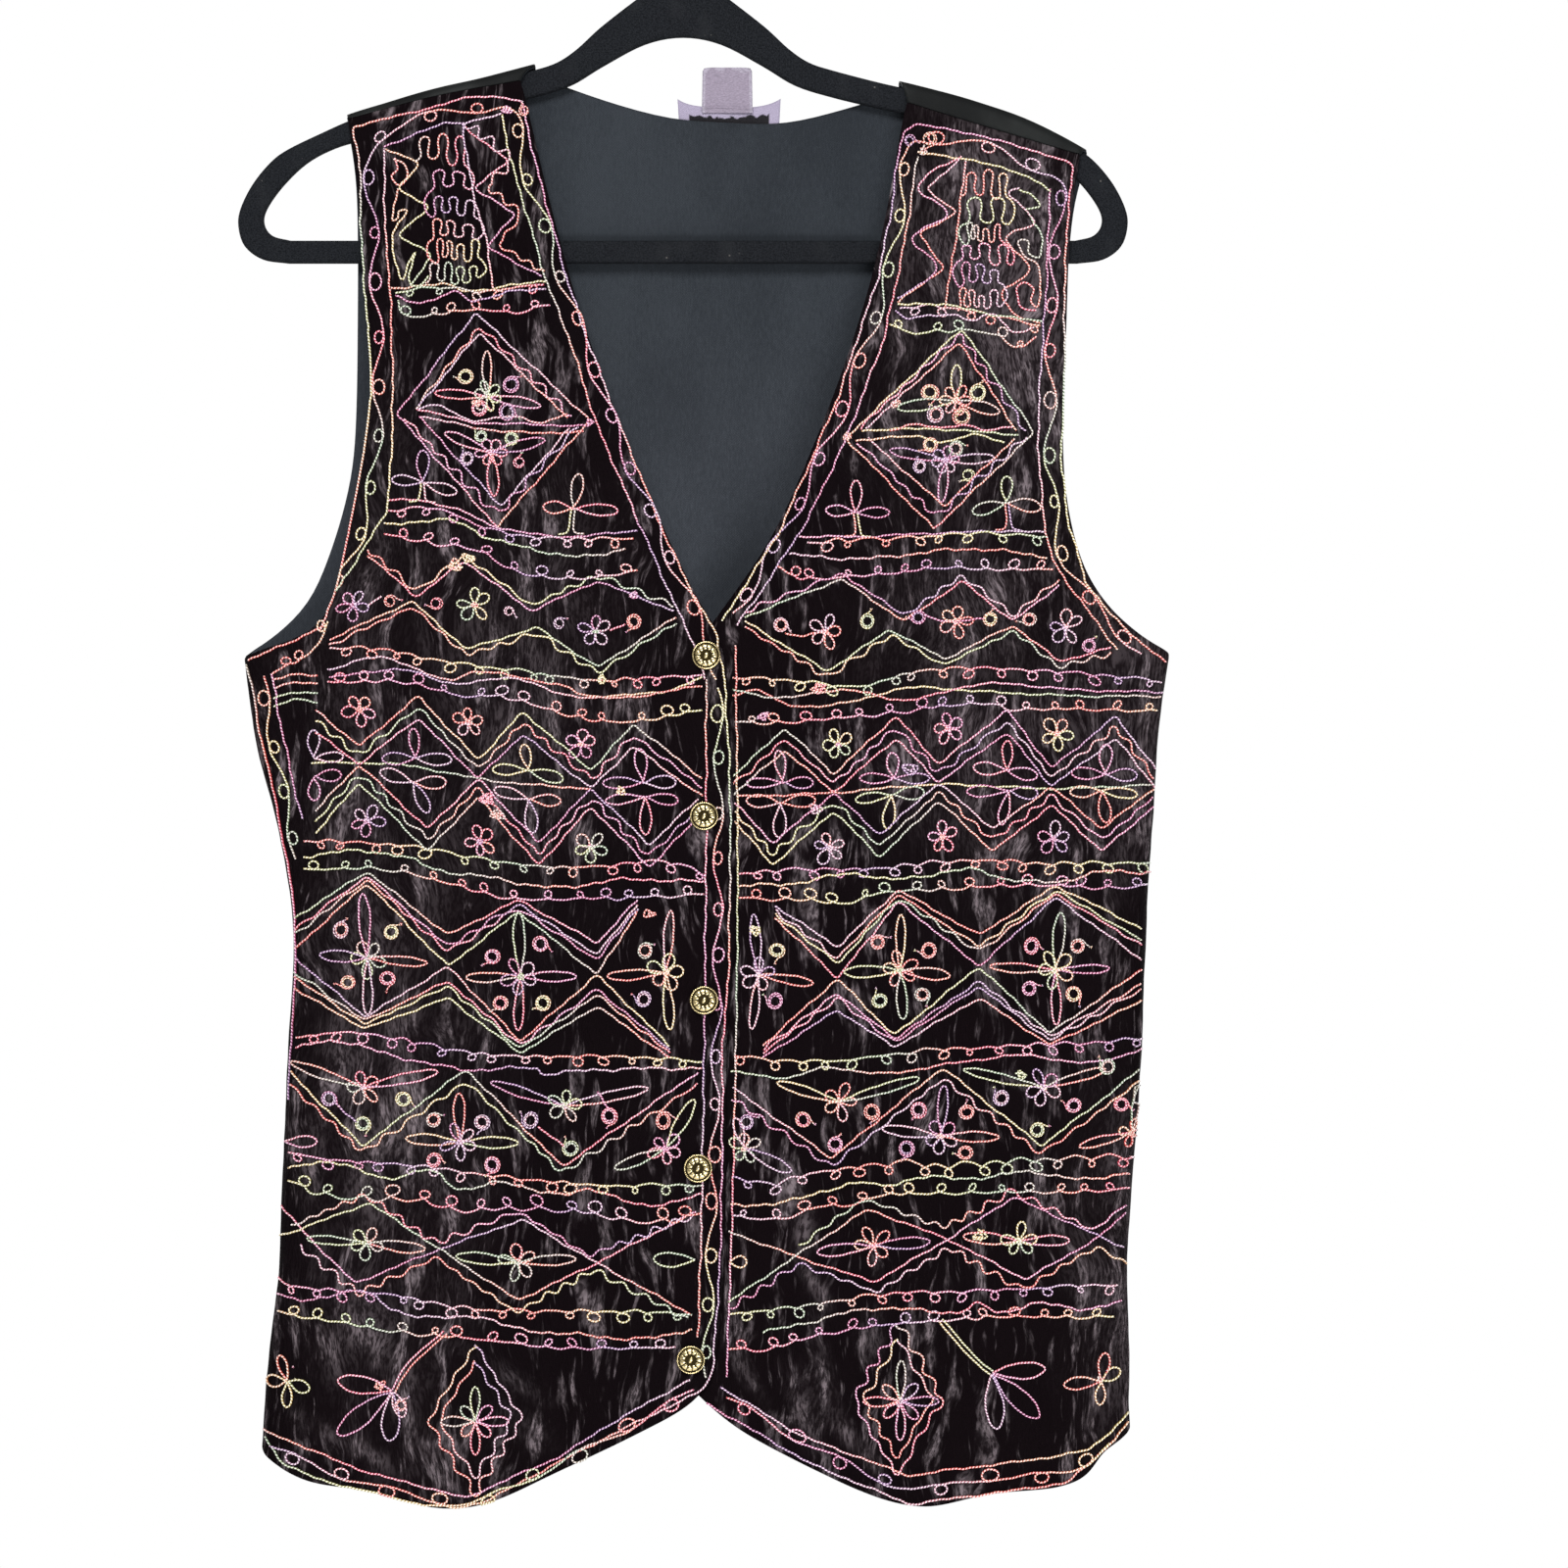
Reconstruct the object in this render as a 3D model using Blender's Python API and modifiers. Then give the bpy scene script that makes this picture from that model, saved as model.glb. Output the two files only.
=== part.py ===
"""Embroidered velvet vest on a flat clothes hanger.

The frame's origin is the inner top of the hanger's hook, where it hangs on a
rod. +Z is up, +X is to the right of someone who looks at the front, and the
front faces -Y. Left and right in the names of pieces are the wearer's, so
front_right is the half on the viewer's left.

The vest hangs flat. Its cloth is a flattened tube: a table of rings gives the
tube's sides, depths and squareness at each height, and each piece is a patch
of that tube between four edge curves. An edge is given as it is seen from the
front, and is then unrolled round the ring into cloth width.
"""

import math

import bmesh
import bpy
import numpy as np
from mathutils import Vector

MM = 0.001

# Lengths below are in millimetres. The cloth:
VELVET_WALL = 2.0
BACK_WALL = 1.0
LINING_WALL = 1.0
LABEL_WALL = 1.0
SEAM_GAP = 0.3
SHOULDER_RADIUS = 5.6
FOLD_ABOVE_ARM = 3.5
CENTRE_BACK = 26.0

# The strip of the top front that stands clear of the one under it.
PLACKET_LIFT = 2.4
PLACKET_SIDE = -50
PLACKET_SIDE_RAMP = 42
PLACKET_TOP = -325
PLACKET_TOP_RAMP = 70

# The tube. left and right are its outermost points seen from the front, depth
# is half its thickness, and squareness is the exponent of the ring. Above the
# underarms its sides lie beyond the armholes.
RING_COLUMNS = ("height", "left", "right", "depth", "squareness")
RINGS = (
    (-110, -245, 265, 5.6, 12.0),
    (-185, -245, 265, 5.8, 12.0),
    (-240, -242, 262, 8.2, 9.0),
    (-310, -238, 258, 12.0, 7.0),
    (-380, -229, 251, 15.2, 5.5),
    (-431, -219, 243, 17.0, 4.5),
    (-466, -215, 238, 18.0, 4.2),
    (-517, -202, 235, 19.5, 4.0),
    (-571, -194, 232, 20.0, 4.0),
    (-610, -197, 231, 20.0, 4.0),
    (-672, -200, 227, 20.5, 4.0),
    (-743, -203, 222, 21.0, 4.0),
    (-780, -208, 224, 21.0, 4.0),
    (-860, -213, 224, 21.0, 4.0),
)

# How far each side seam lies behind the side of the tube.
SEAM_COLUMNS = ("height", "right_side", "left_side")
SEAM_BEHIND = (
    (-431, 0.0, 4.0),
    (-480, 2.0, 8.0),
    (-560, 8.0, 13.0),
    (-860, 14.0, 14.0),
)

# The wearer's right front, which lies on top. Each point is across, height.
RIGHT_SHOULDER_SEAM = ((-81, -142.0), (-122, -149.5), (-167, -161.0))
RIGHT_NECK_EDGE = (
    (-81, -142),
    (-78, -153),
    (-69, -192),
    (-57, -238),
    (-47, -270),
    (-31, -314),
    (-6, -373),
    (10, -405),
    (18, -417),
)
RIGHT_CLOSING_EDGE = (
    (18, -417),
    (23, -439),
    (25, -483),
    (26, -522),
    (25, -591),
    (22, -620),
    (22, -669),
    (21, -728),
    (19, -757),
    (17, -786),
    (11, -797),
)
RIGHT_ARMHOLE = (
    (-167, -161),
    (-162, -194),
    (-160, -233),
    (-156, -272),
    (-154, -292),
    (-158, -327),
    (-166, -369),
    (-174, -407),
    (-179, -416),
    (-196, -422),
)
RIGHT_HEM = (
    (11, -797),
    (-20, -813),
    (-50, -828),
    (-80, -841),
    (-97, -851),
    (-105, -853),
    (-122, -852),
    (-156, -842),
    (-179, -840),
    (-194, -837),
    (-202, -830),
)
RIGHT_CORNER_HEIGHT = -819

# The wearer's left front, whose closing edge lies under the other.
LEFT_SHOULDER_SEAM = ((112, -153.0), (154, -166.0), (198, -179.0))
LEFT_NECK_EDGE = (
    (112, -153),
    (110, -160),
    (102, -206),
    (96, -234),
    (86, -268),
    (75, -300),
    (62, -332),
    (45, -370),
    (30, -392),
    (12, -417),
)
LEFT_CLOSING_EDGE = ((12, -417), (4, -430), (0, -450), (0, -600), (0, -787))
LEFT_ARMHOLE = (
    (198, -179),
    (193, -215),
    (191, -267),
    (189, -311),
    (189, -333),
    (192, -360),
    (196, -376),
    (202, -393),
    (212, -406),
    (226, -419),
)
LEFT_HEM = (
    (0, -787),
    (20, -808),
    (40, -819),
    (69, -834),
    (90, -843),
    (112, -852),
    (119, -853),
    (133, -848),
    (155, -843),
    (190, -842),
    (202, -837),
    (205, -827),
)
LEFT_CORNER_HEIGHT = -809

# The back, whose shoulders come over the arms to the two seams in front.
BACK_NECK_RIGHT = (
    (-74, -138.4),
    (-56, -144),
    (-42, -150),
    (-25, -156),
    (-2, -161),
    (CENTRE_BACK, -163.5),
)
BACK_NECK_LEFT = (
    (108, -145.8),
    (90, -151.5),
    (72, -158),
    (62, -161.2),
    (45, -163.3),
    (CENTRE_BACK, -163.5),
)
BACK_ARMHOLE_RIGHT = (
    (-168, -163.9),
    (-164, -180),
    (-163, -238),
    (-164, -294),
    (-166, -333),
    (-177, -375),
    (-187, -401),
    (-199, -414),
)
BACK_ARMHOLE_LEFT = (
    (202, -179),
    (196, -199),
    (193, -233),
    (190, -267),
    (187, -311),
    (187, -333),
    (190, -360),
    (199, -393),
    (209, -405),
    (222, -416),
)
BACK_HEM_MIDDLE_HEIGHT = -790

# Soft folds: across, top, bottom, half width and how far they stand out. Each
# grows over a share of its length from the top, and fades at its foot.
FOLD_GROWTH_SHARE = 0.35
FOLD_FOOT_FADE = 25
FRONT_FOLDS = (
    (-168, -560, -860, 15, 1.6),
    (-118, -470, -800, 17, -1.4),
    (-70, -600, -880, 16, 1.8),
    (-128, -700, -880, 14, 1.2),
    (62, -470, -760, 16, -1.3),
    (92, -640, -880, 18, 1.8),
    (150, -500, -880, 17, 1.5),
    (196, -560, -860, 10, -1.2),
    (-110, -190, -390, 15, -0.9),
    (146, -200, -410, 16, -0.9),
)
BACK_FOLDS = (
    (-140, -260, -820, 20, 1.8),
    (-92, -420, -830, 16, -1.4),
    (-30, -330, -820, 22, 1.5),
    (78, -300, -820, 18, 1.6),
    (112, -420, -830, 15, -1.5),
    (165, -260, -820, 20, 1.8),
)
# The bust dart that lies open on the right front: across, height.
DART = ((-176, -400), (-180, -451), (-185, -478), (-190, -520))
DART_HALF_WIDTH = 7.0
DART_DEPTH = 1.8
DART_FADE = 60

# The folds fade out where the tube is shallower than this, at its sides.
EDGE_FADE = 8.0

# Grid steps of the pieces.
FRONT_STEPS_ACROSS = 14
BACK_STEPS_ACROSS = 11
STEPS_ABOVE_UNDERARM = 12
STEPS_BELOW_UNDERARM = 16
CAP_STEPS = 8
JOIN_DISTANCE = 0.05
SHARP_DEGREES = 50
SOCKET_SIDES = 16
UNDERARM_SHARE = 0.42
UNDERARM_HEIGHT = -431
BACK_NECK_SHARE = 0.10
# Columns crowd towards the side seams below the underarms.
GATHER_POWER = 1.9
GATHER_MIX = 0.75
GATHER_FROM_SHARE = UNDERARM_SHARE - 0.12
GATHER_RAMP = 0.16
# Points read along an edge curve.
EDGE_SAMPLES = 81
# Extra rows where the top of a front rolls over the arm, and at the underarm.
SHOULDER_ROW_SHARES = (0.004, 0.010)
UNDERARM_ROW_SHARES = (UNDERARM_SHARE - 0.018, UNDERARM_SHARE - 0.006)

# The hanger: half its outline, mirrored about the hook. across, height. The
# cloth lies on its arms down to ARM_FOOT.
HANGER_THICKNESS = 5.5
HANGER_ROUNDING = 1.6
ARM_FOOT = -200
HANGER_OUTER = (
    (0, -90.5),
    (13, -93.5),
    (23, -100.5),
    (41, -114.5),
    (53, -125.5),
    (63, -132.2),
    (75, -136.2),
    (98, -142.2),
    (120, -147.2),
    (140, -152.9),
    (158, -158.2),
    (168, -161.8),
    (180, -167.2),
    (197, -175.4),
    (206, -182.0),
    (215, -193.0),
    (221, -205.0),
    (222.2, -214.0),
    (219, -224.0),
    (210, -230.5),
    (197, -232.5),
)
HANGER_INNER = (
    (0, -119.5),
    (19, -123.0),
    (40, -134.0),
    (56, -143.5),
    (75, -149.5),
    (98, -155.0),
    (120, -160.0),
    (140, -165.5),
    (158, -170.3),
    (174, -175.0),
    (188, -182.5),
    (200, -194.0),
    (208, -205.5),
    (209.2, -213.0),
    (205, -218.8),
    (196, -221.2),
)

# The hook: a wire that stands in a socket in the crown.
WIRE_RADIUS = 1.8
HOOK_INNER_RADIUS = 22.0
HOOK_POINT_DEGREES = 205.0
HOOK_LEAVES_RING_DEGREES = -52.0
HOOK_RING_STEPS = 25
HOOK_BEND_STEPS = 7
HOOK_BEND_REACH = 17.0
STEM_TOP = -60.0
STEM_FOOT = -101.0
SOCKET_CLEARANCE = 0.3
SOCKET_DEPTH = 11.0

# The buttons: across, height of each centre.
BUTTONS = ((12, -429), (11, -508.5), (11, -599.5), (8, -682.5), (4.5, -777))
BUTTON_STEPS = 20
# A shank, a thin rim and a low dome: radius, rise from the cloth.
BUTTON_PROFILE = (
    (2.1, 0.3),
    (2.1, 1.3),
    (6.2, 1.5),
    (7.0, 2.1),
    (6.8, 2.8),
    (6.1, 2.9),
    (5.6, 2.5),
    (3.8, 3.4),
    (1.5, 3.9),
)
BUTTON_TOP = 4.0
BUTTON_MERGE = 0.01

# The labels that stand up from the back of the neck.
NECK_LABEL_SIDES = (-2.0, 48.0)
NECK_LABEL_TOP = -153.4
NECK_LABEL_CORNER_RISE = 4.0
NECK_LABEL_STEPS = 10
CARE_LABEL_SIDES = (9.3, 34.8)
CARE_LABEL_FOOT = -156.5
CARE_LABEL_TOP = -133.5
CARE_LABEL_STEPS = 4
CARE_LABEL_LEAN = 1.2
CARE_LABEL_UPRIGHT = 6
LABEL_FRONT_FACE = 4.6

MATERIALS = {
    # name: colour, roughness, metallic
    "velvet": ((0.012, 0.010, 0.014, 1), 0.75, 0.0),
    "back_cloth": ((0.020, 0.022, 0.022, 1), 0.55, 0.0),
    "lining_cloth": ((0.030, 0.040, 0.042, 1), 0.85, 0.0),
    "label_weave": ((0.015, 0.013, 0.020, 1), 0.60, 0.0),
    "care_ribbon": ((0.360, 0.320, 0.420, 1), 0.45, 0.0),
    "gilt": ((0.720, 0.560, 0.240, 1), 0.28, 1.0),
    "hanger_flock": ((0.010, 0.011, 0.011, 1), 0.90, 0.0),
    "hook_steel": ((0.620, 0.620, 0.630, 1), 0.25, 1.0),
}


def smooth_step(value):
    share = np.clip(value, 0.0, 1.0)
    return share * share * (3.0 - 2.0 * share)


def through(knots, values, at):
    """A smooth curve through the values at rising knots, with no overshoot."""
    knots = np.asarray(knots, float)
    values = np.asarray(values, float)
    steps = np.diff(knots)
    rises = np.diff(values) / steps
    slopes = np.empty(len(knots))
    slopes[0] = rises[0]
    slopes[-1] = rises[-1]
    turning = rises[:-1] * rises[1:] <= 0
    mean = 2.0 * rises[:-1] * rises[1:] / np.where(turning, 1.0, rises[:-1] + rises[1:])
    slopes[1:-1] = np.where(turning, 0.0, mean)
    at = np.clip(at, knots[0], knots[-1])
    index = np.clip(np.searchsorted(knots, at) - 1, 0, len(steps) - 1)
    t = (at - knots[index]) / steps[index]
    t2 = t * t
    t3 = t2 * t
    return (
        (2 * t3 - 3 * t2 + 1) * values[index]
        + (t3 - 2 * t2 + t) * steps[index] * slopes[index]
        + (3 * t2 - 2 * t3) * values[index + 1]
        + (t3 - t2) * steps[index] * slopes[index + 1]
    )


def column(table, names, name, height):
    """One column of a table by height, whose rows run from the top down."""
    rows = np.array(table[::-1], float)
    return float(through(rows[:, 0], rows[:, names.index(name)], height))


def fold_top(across):
    """Height of the cloth where it folds over the hanger's arm."""
    rows = np.array([p for p in HANGER_OUTER if p[1] > ARM_FOOT], float)
    return float(np.interp(abs(across), rows[:, 0], rows[:, 1])) + FOLD_ABOVE_ARM


class Ring:
    """The tube's outline at one height, and how cloth width runs round it."""

    SAMPLES = 400

    def __init__(self, height):
        left = column(RINGS, RING_COLUMNS, "left", height)
        right = column(RINGS, RING_COLUMNS, "right", height)
        power = column(RINGS, RING_COLUMNS, "squareness", height)
        depth = column(RINGS, RING_COLUMNS, "depth", height)
        self.middle = (left + right) / 2
        half = (right - left) / 2
        angle = np.linspace(math.pi / 2, 0, self.SAMPLES)
        self.across = half * np.cos(angle) ** (2 / power)
        self.out = depth * np.sin(angle) ** (2 / power)
        steps = np.hypot(np.diff(self.across), np.diff(self.out))
        self.width = np.concatenate([[0.0], np.cumsum(steps)])
        self.quarter = self.width[-1]
        across_slope = (self.across / half) ** (power - 1) / half
        out_slope = (self.out / depth) ** (power - 1) / depth
        length = np.hypot(across_slope, out_slope)
        self.normal_across = across_slope / length
        self.normal_out = out_slope / length

    def unroll(self, across):
        """Cloth width from the middle of this face to a point seen at across."""
        offset = across - self.middle
        return math.copysign(np.interp(abs(offset), self.across, self.width), offset)

    def point(self, width, inset=0.0):
        """Across and depth at a cloth width, past the side onto the other face.

        An inset point lies inwards along the ring's normal.
        """
        reach = abs(width)
        behind = reach > self.quarter
        reach = 2 * self.quarter - reach if behind else reach
        across = np.interp(reach, self.width, self.across)
        across -= inset * np.interp(reach, self.width, self.normal_across)
        out = np.interp(reach, self.width, self.out)
        out -= inset * np.interp(reach, self.width, self.normal_out)
        return self.middle + math.copysign(across, width), -out if behind else out


def bump(value, half_width):
    return math.exp(-((value / half_width) ** 2))


def fold_relief(across, height, folds):
    """How far the soft folds stand out at a point."""
    total = 0.0
    for centre, top, bottom, half_width, stand in folds:
        growth = smooth_step((top - height) / (FOLD_GROWTH_SHARE * (top - bottom)))
        fade = smooth_step((height - bottom) / FOLD_FOOT_FADE)
        total += stand * bump(across - centre, half_width) * growth * fade
    return total


def dart_relief(across, height):
    heights = [p[1] for p in DART[::-1]]
    if not heights[0] < height < heights[-1]:
        return 0.0
    line = float(through(heights, [p[0] for p in DART[::-1]], height))
    fade = smooth_step((height - heights[0]) / DART_FADE)
    return -DART_DEPTH * fade * bump(across - line, DART_HALF_WIDTH)


def placket_lift(across, height):
    """The top front stands clear of the one under it."""
    sideways = smooth_step((across - PLACKET_SIDE) / PLACKET_SIDE_RAMP)
    downwards = smooth_step((PLACKET_TOP - height) / PLACKET_TOP_RAMP)
    return PLACKET_LIFT * sideways * downwards


def front_point(width, height, inset, relief):
    """A point of a front, rolled over the hanger's arm near the shoulder."""
    ring = Ring(height)
    across, out = ring.point(width, inset)
    out += smooth_step(ring.point(width)[1] / EDGE_FADE) * relief(across, height)
    axis = fold_top(across) - SHOULDER_RADIUS
    if height > axis:
        turn = math.asin(min(1.0, (height - axis) / SHOULDER_RADIUS))
        out -= (SHOULDER_RADIUS - inset) * (1 - math.cos(turn))
        height = axis + (SHOULDER_RADIUS - inset) * math.sin(turn)
    return across, -out, height


def back_point(width, height, inset):
    ring = Ring(height)
    across, out = ring.point(width, inset)
    fade = smooth_step(ring.point(width)[1] / EDGE_FADE)
    return across, out + fade * fold_relief(across, height, BACK_FOLDS), height


def unrolled(points):
    return [(Ring(height).unroll(across), height) for across, height in points]


def spaced(points, shares):
    """Points at shares of a smooth curve's length through the given points."""
    points = np.asarray(points, float)
    along = np.concatenate([[0.0], np.cumsum(np.hypot(*np.diff(points, axis=0).T))])
    at = np.asarray(shares) * along[-1]
    return np.stack([through(along, points[:, 0], at), through(along, points[:, 1], at)], axis=1)


def chain(first, second, break_share, shares):
    """Two curves end to end. The first takes the shares up to break_share."""
    shares = np.asarray(shares, float)
    head = spaced(first, np.clip(shares / break_share, 0, 1))
    tail = spaced(second, np.clip((shares - break_share) / (1 - break_share), 0, 1))
    return np.where((shares <= break_share)[:, None], head, tail)


def patch(top, bottom, inner, outer, across_shares, down_shares):
    """Points between four edge curves, indexed [down][across]."""
    u = across_shares[:, :, None]
    v = np.asarray(down_shares, float)[:, None, None]
    corners = (
        (1 - u) * (1 - v) * top[0]
        + u * (1 - v) * top[-1]
        + (1 - u) * v * bottom[0]
        + u * v * bottom[-1]
    )
    shares = np.linspace(0, 1, top.shape[0])
    top_at = np.stack([np.interp(across_shares, shares, top[:, k]) for k in (0, 1)], axis=2)
    low_at = np.stack([np.interp(across_shares, shares, bottom[:, k]) for k in (0, 1)], axis=2)
    sides = (1 - u) * inner[:, None, :] + u * outer[:, None, :]
    return sides + (1 - v) * top_at + v * low_at - corners


def rows_down():
    """Shares down a piece, the same for each so that seams have equal rows."""
    above = np.linspace(0, UNDERARM_SHARE, STEPS_ABOVE_UNDERARM + 1)
    below = np.linspace(UNDERARM_SHARE, 1, STEPS_BELOW_UNDERARM + 1)
    return np.unique(np.concatenate([above, UNDERARM_ROW_SHARES, below]))


def gathered(steps, down_shares):
    """Shares across, closer together towards the side below the underarm."""
    even = np.linspace(0, 1, steps + 1)
    close = 1 - (1 - even) ** GATHER_POWER
    below = smooth_step((np.asarray(down_shares) - GATHER_FROM_SHARE) / GATHER_RAMP)
    mix = GATHER_MIX * below
    return even + mix[:, None] * (close - even)


def outer_edge(armhole, face, side, corner_height, seam_side, shares_down):
    """The armhole, then the side seam in even steps of height to the hem."""
    seam = []
    for share in np.clip((shares_down - UNDERARM_SHARE) / (1 - UNDERARM_SHARE), 0, 1):
        height = UNDERARM_HEIGHT + (corner_height - UNDERARM_HEIGHT) * share
        behind = column(SEAM_BEHIND, SEAM_COLUMNS, seam_side, height)
        quarter = Ring(height).quarter
        reach = quarter + behind if face == "front" else quarter - behind - SEAM_GAP
        seam.append((side * reach, height))
    edge = spaced(unrolled(armhole) + seam[:1], np.clip(shares_down / UNDERARM_SHARE, 0, 1))
    return np.where((shares_down <= UNDERARM_SHARE)[:, None], edge, seam)


def sheet_mesh(name, rows):
    """A grid primitive whose vertices are moved to the given rows of points."""
    sheet = bmesh.new()
    add_grid(sheet, rows)
    mesh = bpy.data.meshes.new(name)
    sheet.to_mesh(mesh)
    sheet.free()
    return mesh


def add_grid(target, rows):
    """Adds a grid bent to rows of points. Gives each vertex with its place."""
    down = len(rows) - 1
    across = len(rows[0]) - 1
    grid = bmesh.ops.create_grid(target, x_segments=across, y_segments=down, size=1)
    placed = []
    for vertex in grid["verts"]:
        i = round((vertex.co.x + 1) / 2 * across)
        j = round((1 - vertex.co.y) / 2 * down)
        vertex.co = Vector(rows[j][i]) * MM
        placed.append((vertex, j, i))
    return placed


def walled_mesh(name, patches):
    """Grids bent to their outer rows, joined, then extruded to their inner rows.

    The wall follows the tube's own normals, so two pieces that meet at a seam
    have parallel edges there.
    """
    wall = bmesh.new()
    number = wall.verts.layers.int.new("inner_point")
    inner_points = []
    for outer, inner in patches:
        for vertex, j, i in add_grid(wall, outer):
            vertex[number] = len(inner_points)
            inner_points.append(Vector(inner[j][i]) * MM)
    bmesh.ops.remove_doubles(wall, verts=wall.verts, dist=JOIN_DISTANCE * MM)
    extruded = bmesh.ops.extrude_face_region(wall, geom=wall.faces[:])
    for item in extruded["geom"]:
        if isinstance(item, bmesh.types.BMVert):
            item.co = inner_points[item[number]]
    bmesh.ops.recalc_face_normals(wall, faces=wall.faces)
    mesh = bpy.data.meshes.new(name)
    wall.to_mesh(mesh)
    wall.free()
    mesh.shade_smooth()
    mesh.set_sharp_from_angle(angle=math.radians(SHARP_DEGREES))
    return mesh


def material(name):
    made = bpy.data.materials.get(name)
    if made is None:
        colour, roughness, metallic = MATERIALS[name]
        made = bpy.data.materials.new(name)
        made.use_nodes = True
        shader = made.node_tree.nodes["Principled BSDF"]
        shader.inputs["Base Color"].default_value = colour
        shader.inputs["Roughness"].default_value = roughness
        shader.inputs["Metallic"].default_value = metallic
        made.diffuse_color = colour
    return made


def add_piece(name, data, material_name, collection):
    piece = bpy.data.objects.new(name, data)
    data.materials.append(material(material_name))
    collection.objects.link(piece)
    return piece


def ribbon(name, rows, material_name, collection):
    """A small flat sheet given its thickness, backwards from its front face."""
    mesh = sheet_mesh(name, rows)
    mesh.shade_smooth()
    piece = add_piece(name, mesh, material_name, collection)
    thickness = piece.modifiers.new("thickness", "SOLIDIFY")
    thickness.thickness = LABEL_WALL * MM
    thickness.offset = -1


def front_layout(edges, side, seam_side, corner_height):
    """One front spread flat: rows of cloth width and height."""
    shoulder, neck, closing, armhole, hem = edges
    shares_down = np.insert(rows_down(), 1, SHOULDER_ROW_SHARES)
    inner = chain(unrolled(neck), unrolled(closing), UNDERARM_SHARE, shares_down)
    outer = outer_edge(armhole, "front", side, corner_height, seam_side, shares_down)
    fine = np.linspace(0, 1, EDGE_SAMPLES)
    top = spaced(unrolled(shoulder), fine)
    bottom = spaced(unrolled(hem) + [tuple(outer[-1])], fine)
    across = gathered(FRONT_STEPS_ACROSS, shares_down)
    return patch(top, bottom, inner, outer, across, shares_down)


def right_relief(across, height):
    folds = fold_relief(across, height, FRONT_FOLDS)
    return folds + dart_relief(across, height) + placket_lift(across, height)


def left_relief(across, height):
    return fold_relief(across, height, FRONT_FOLDS)


def make_front(name, edges, side, seam_side, corner_height, relief, collection):
    flat = front_layout(edges, side, seam_side, corner_height)
    layers = []
    for inset in (0.0, VELVET_WALL):
        rows = [[front_point(width, height, inset, relief) for width, height in row] for row in flat]
        layers.append(rows)
    add_piece(name, walled_mesh(name, [layers]), "velvet", collection)


def make_fronts(collection):
    edges = (
        RIGHT_SHOULDER_SEAM,
        RIGHT_NECK_EDGE,
        RIGHT_CLOSING_EDGE,
        RIGHT_ARMHOLE,
        RIGHT_HEM,
    )
    make_front("front_right", edges, -1, "right_side", RIGHT_CORNER_HEIGHT, right_relief, collection)
    edges = (
        LEFT_SHOULDER_SEAM,
        LEFT_NECK_EDGE,
        LEFT_CLOSING_EDGE,
        LEFT_ARMHOLE,
        LEFT_HEM,
    )
    make_front("front_left", edges, 1, "left_side", LEFT_CORNER_HEIGHT, left_relief, collection)


def cap_rows(seam, fold_ends, steps, inset):
    """The shoulder strip, from the seam in front over the arm to the back."""
    radius = SHOULDER_RADIUS
    seam_points = spaced(seam, np.linspace(0, 1, steps + 1))
    fold_across = np.linspace(fold_ends[0], fold_ends[1], steps + 1)
    columns = []
    for (seam_across, seam_height), across in zip(seam_points, fold_across):
        drop = fold_top(seam_across) - (seam_height + SEAM_GAP)
        if drop < radius:
            start = -radius * math.acos((radius - drop) / radius)
        else:
            start = -(math.pi / 2 * radius + drop - radius)
        points = []
        for t in np.linspace(start, math.pi / 2 * radius, CAP_STEPS + 1)[:-1]:
            x = across + (seam_across - across) * min(0.0, t) / start
            turn = max(-math.pi / 2, t / radius)
            straight = max(0.0, -t - math.pi / 2 * radius)
            z = fold_top(x) - radius + (radius - inset) * math.cos(turn) - straight
            points.append((x, (radius - inset) * math.sin(turn), z))
        columns.append(points)
    return [[points[k] for points in columns] for k in range(len(columns[0]))]


def back_half_layout(side, seam_side, corner_height, neck, armhole):
    """Half the back spread flat, below its shoulder strip."""
    shares_down = rows_down()
    centre_line = unrolled(
        [(CENTRE_BACK, h) for h in np.linspace(neck[-1][1], BACK_HEM_MIDDLE_HEIGHT, 8)]
    )
    inner = chain(unrolled(neck), centre_line, BACK_NECK_SHARE, shares_down)
    outer = outer_edge(armhole, "back", side, corner_height, seam_side, shares_down)
    fine = np.linspace(0, 1, EDGE_SAMPLES)
    fold_line = [
        (x, fold_top(x) - SHOULDER_RADIUS)
        for x in np.linspace(neck[0][0], armhole[0][0], 9)
    ]
    top = spaced(unrolled(fold_line), fine)
    bottom = spaced([centre_line[-1], outer[-1]], fine)
    inner[0] = top[0]
    outer[0] = top[-1]
    across = gathered(BACK_STEPS_ACROSS, shares_down)
    return patch(top, bottom, inner, outer, across, shares_down)


def back_patches(outer_inset, inner_inset):
    """Both halves of the back as outer and inner rows, shoulder strips on top."""
    halves = (
        (-1, "right_side", RIGHT_CORNER_HEIGHT, BACK_NECK_RIGHT, BACK_ARMHOLE_RIGHT),
        (1, "left_side", LEFT_CORNER_HEIGHT, BACK_NECK_LEFT, BACK_ARMHOLE_LEFT),
    )
    patches = []
    for half, seam in zip(halves, (RIGHT_SHOULDER_SEAM, LEFT_SHOULDER_SEAM)):
        neck, armhole = half[3:]
        flat = back_half_layout(*half)
        layers = []
        for inset in (outer_inset, inner_inset):
            strip = cap_rows(seam, (neck[0][0], armhole[0][0]), BACK_STEPS_ACROSS, inset)
            body = [[back_point(width, height, inset) for width, height in row] for row in flat]
            layers.append(strip + body)
        patches.append(layers)
    return patches


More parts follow.
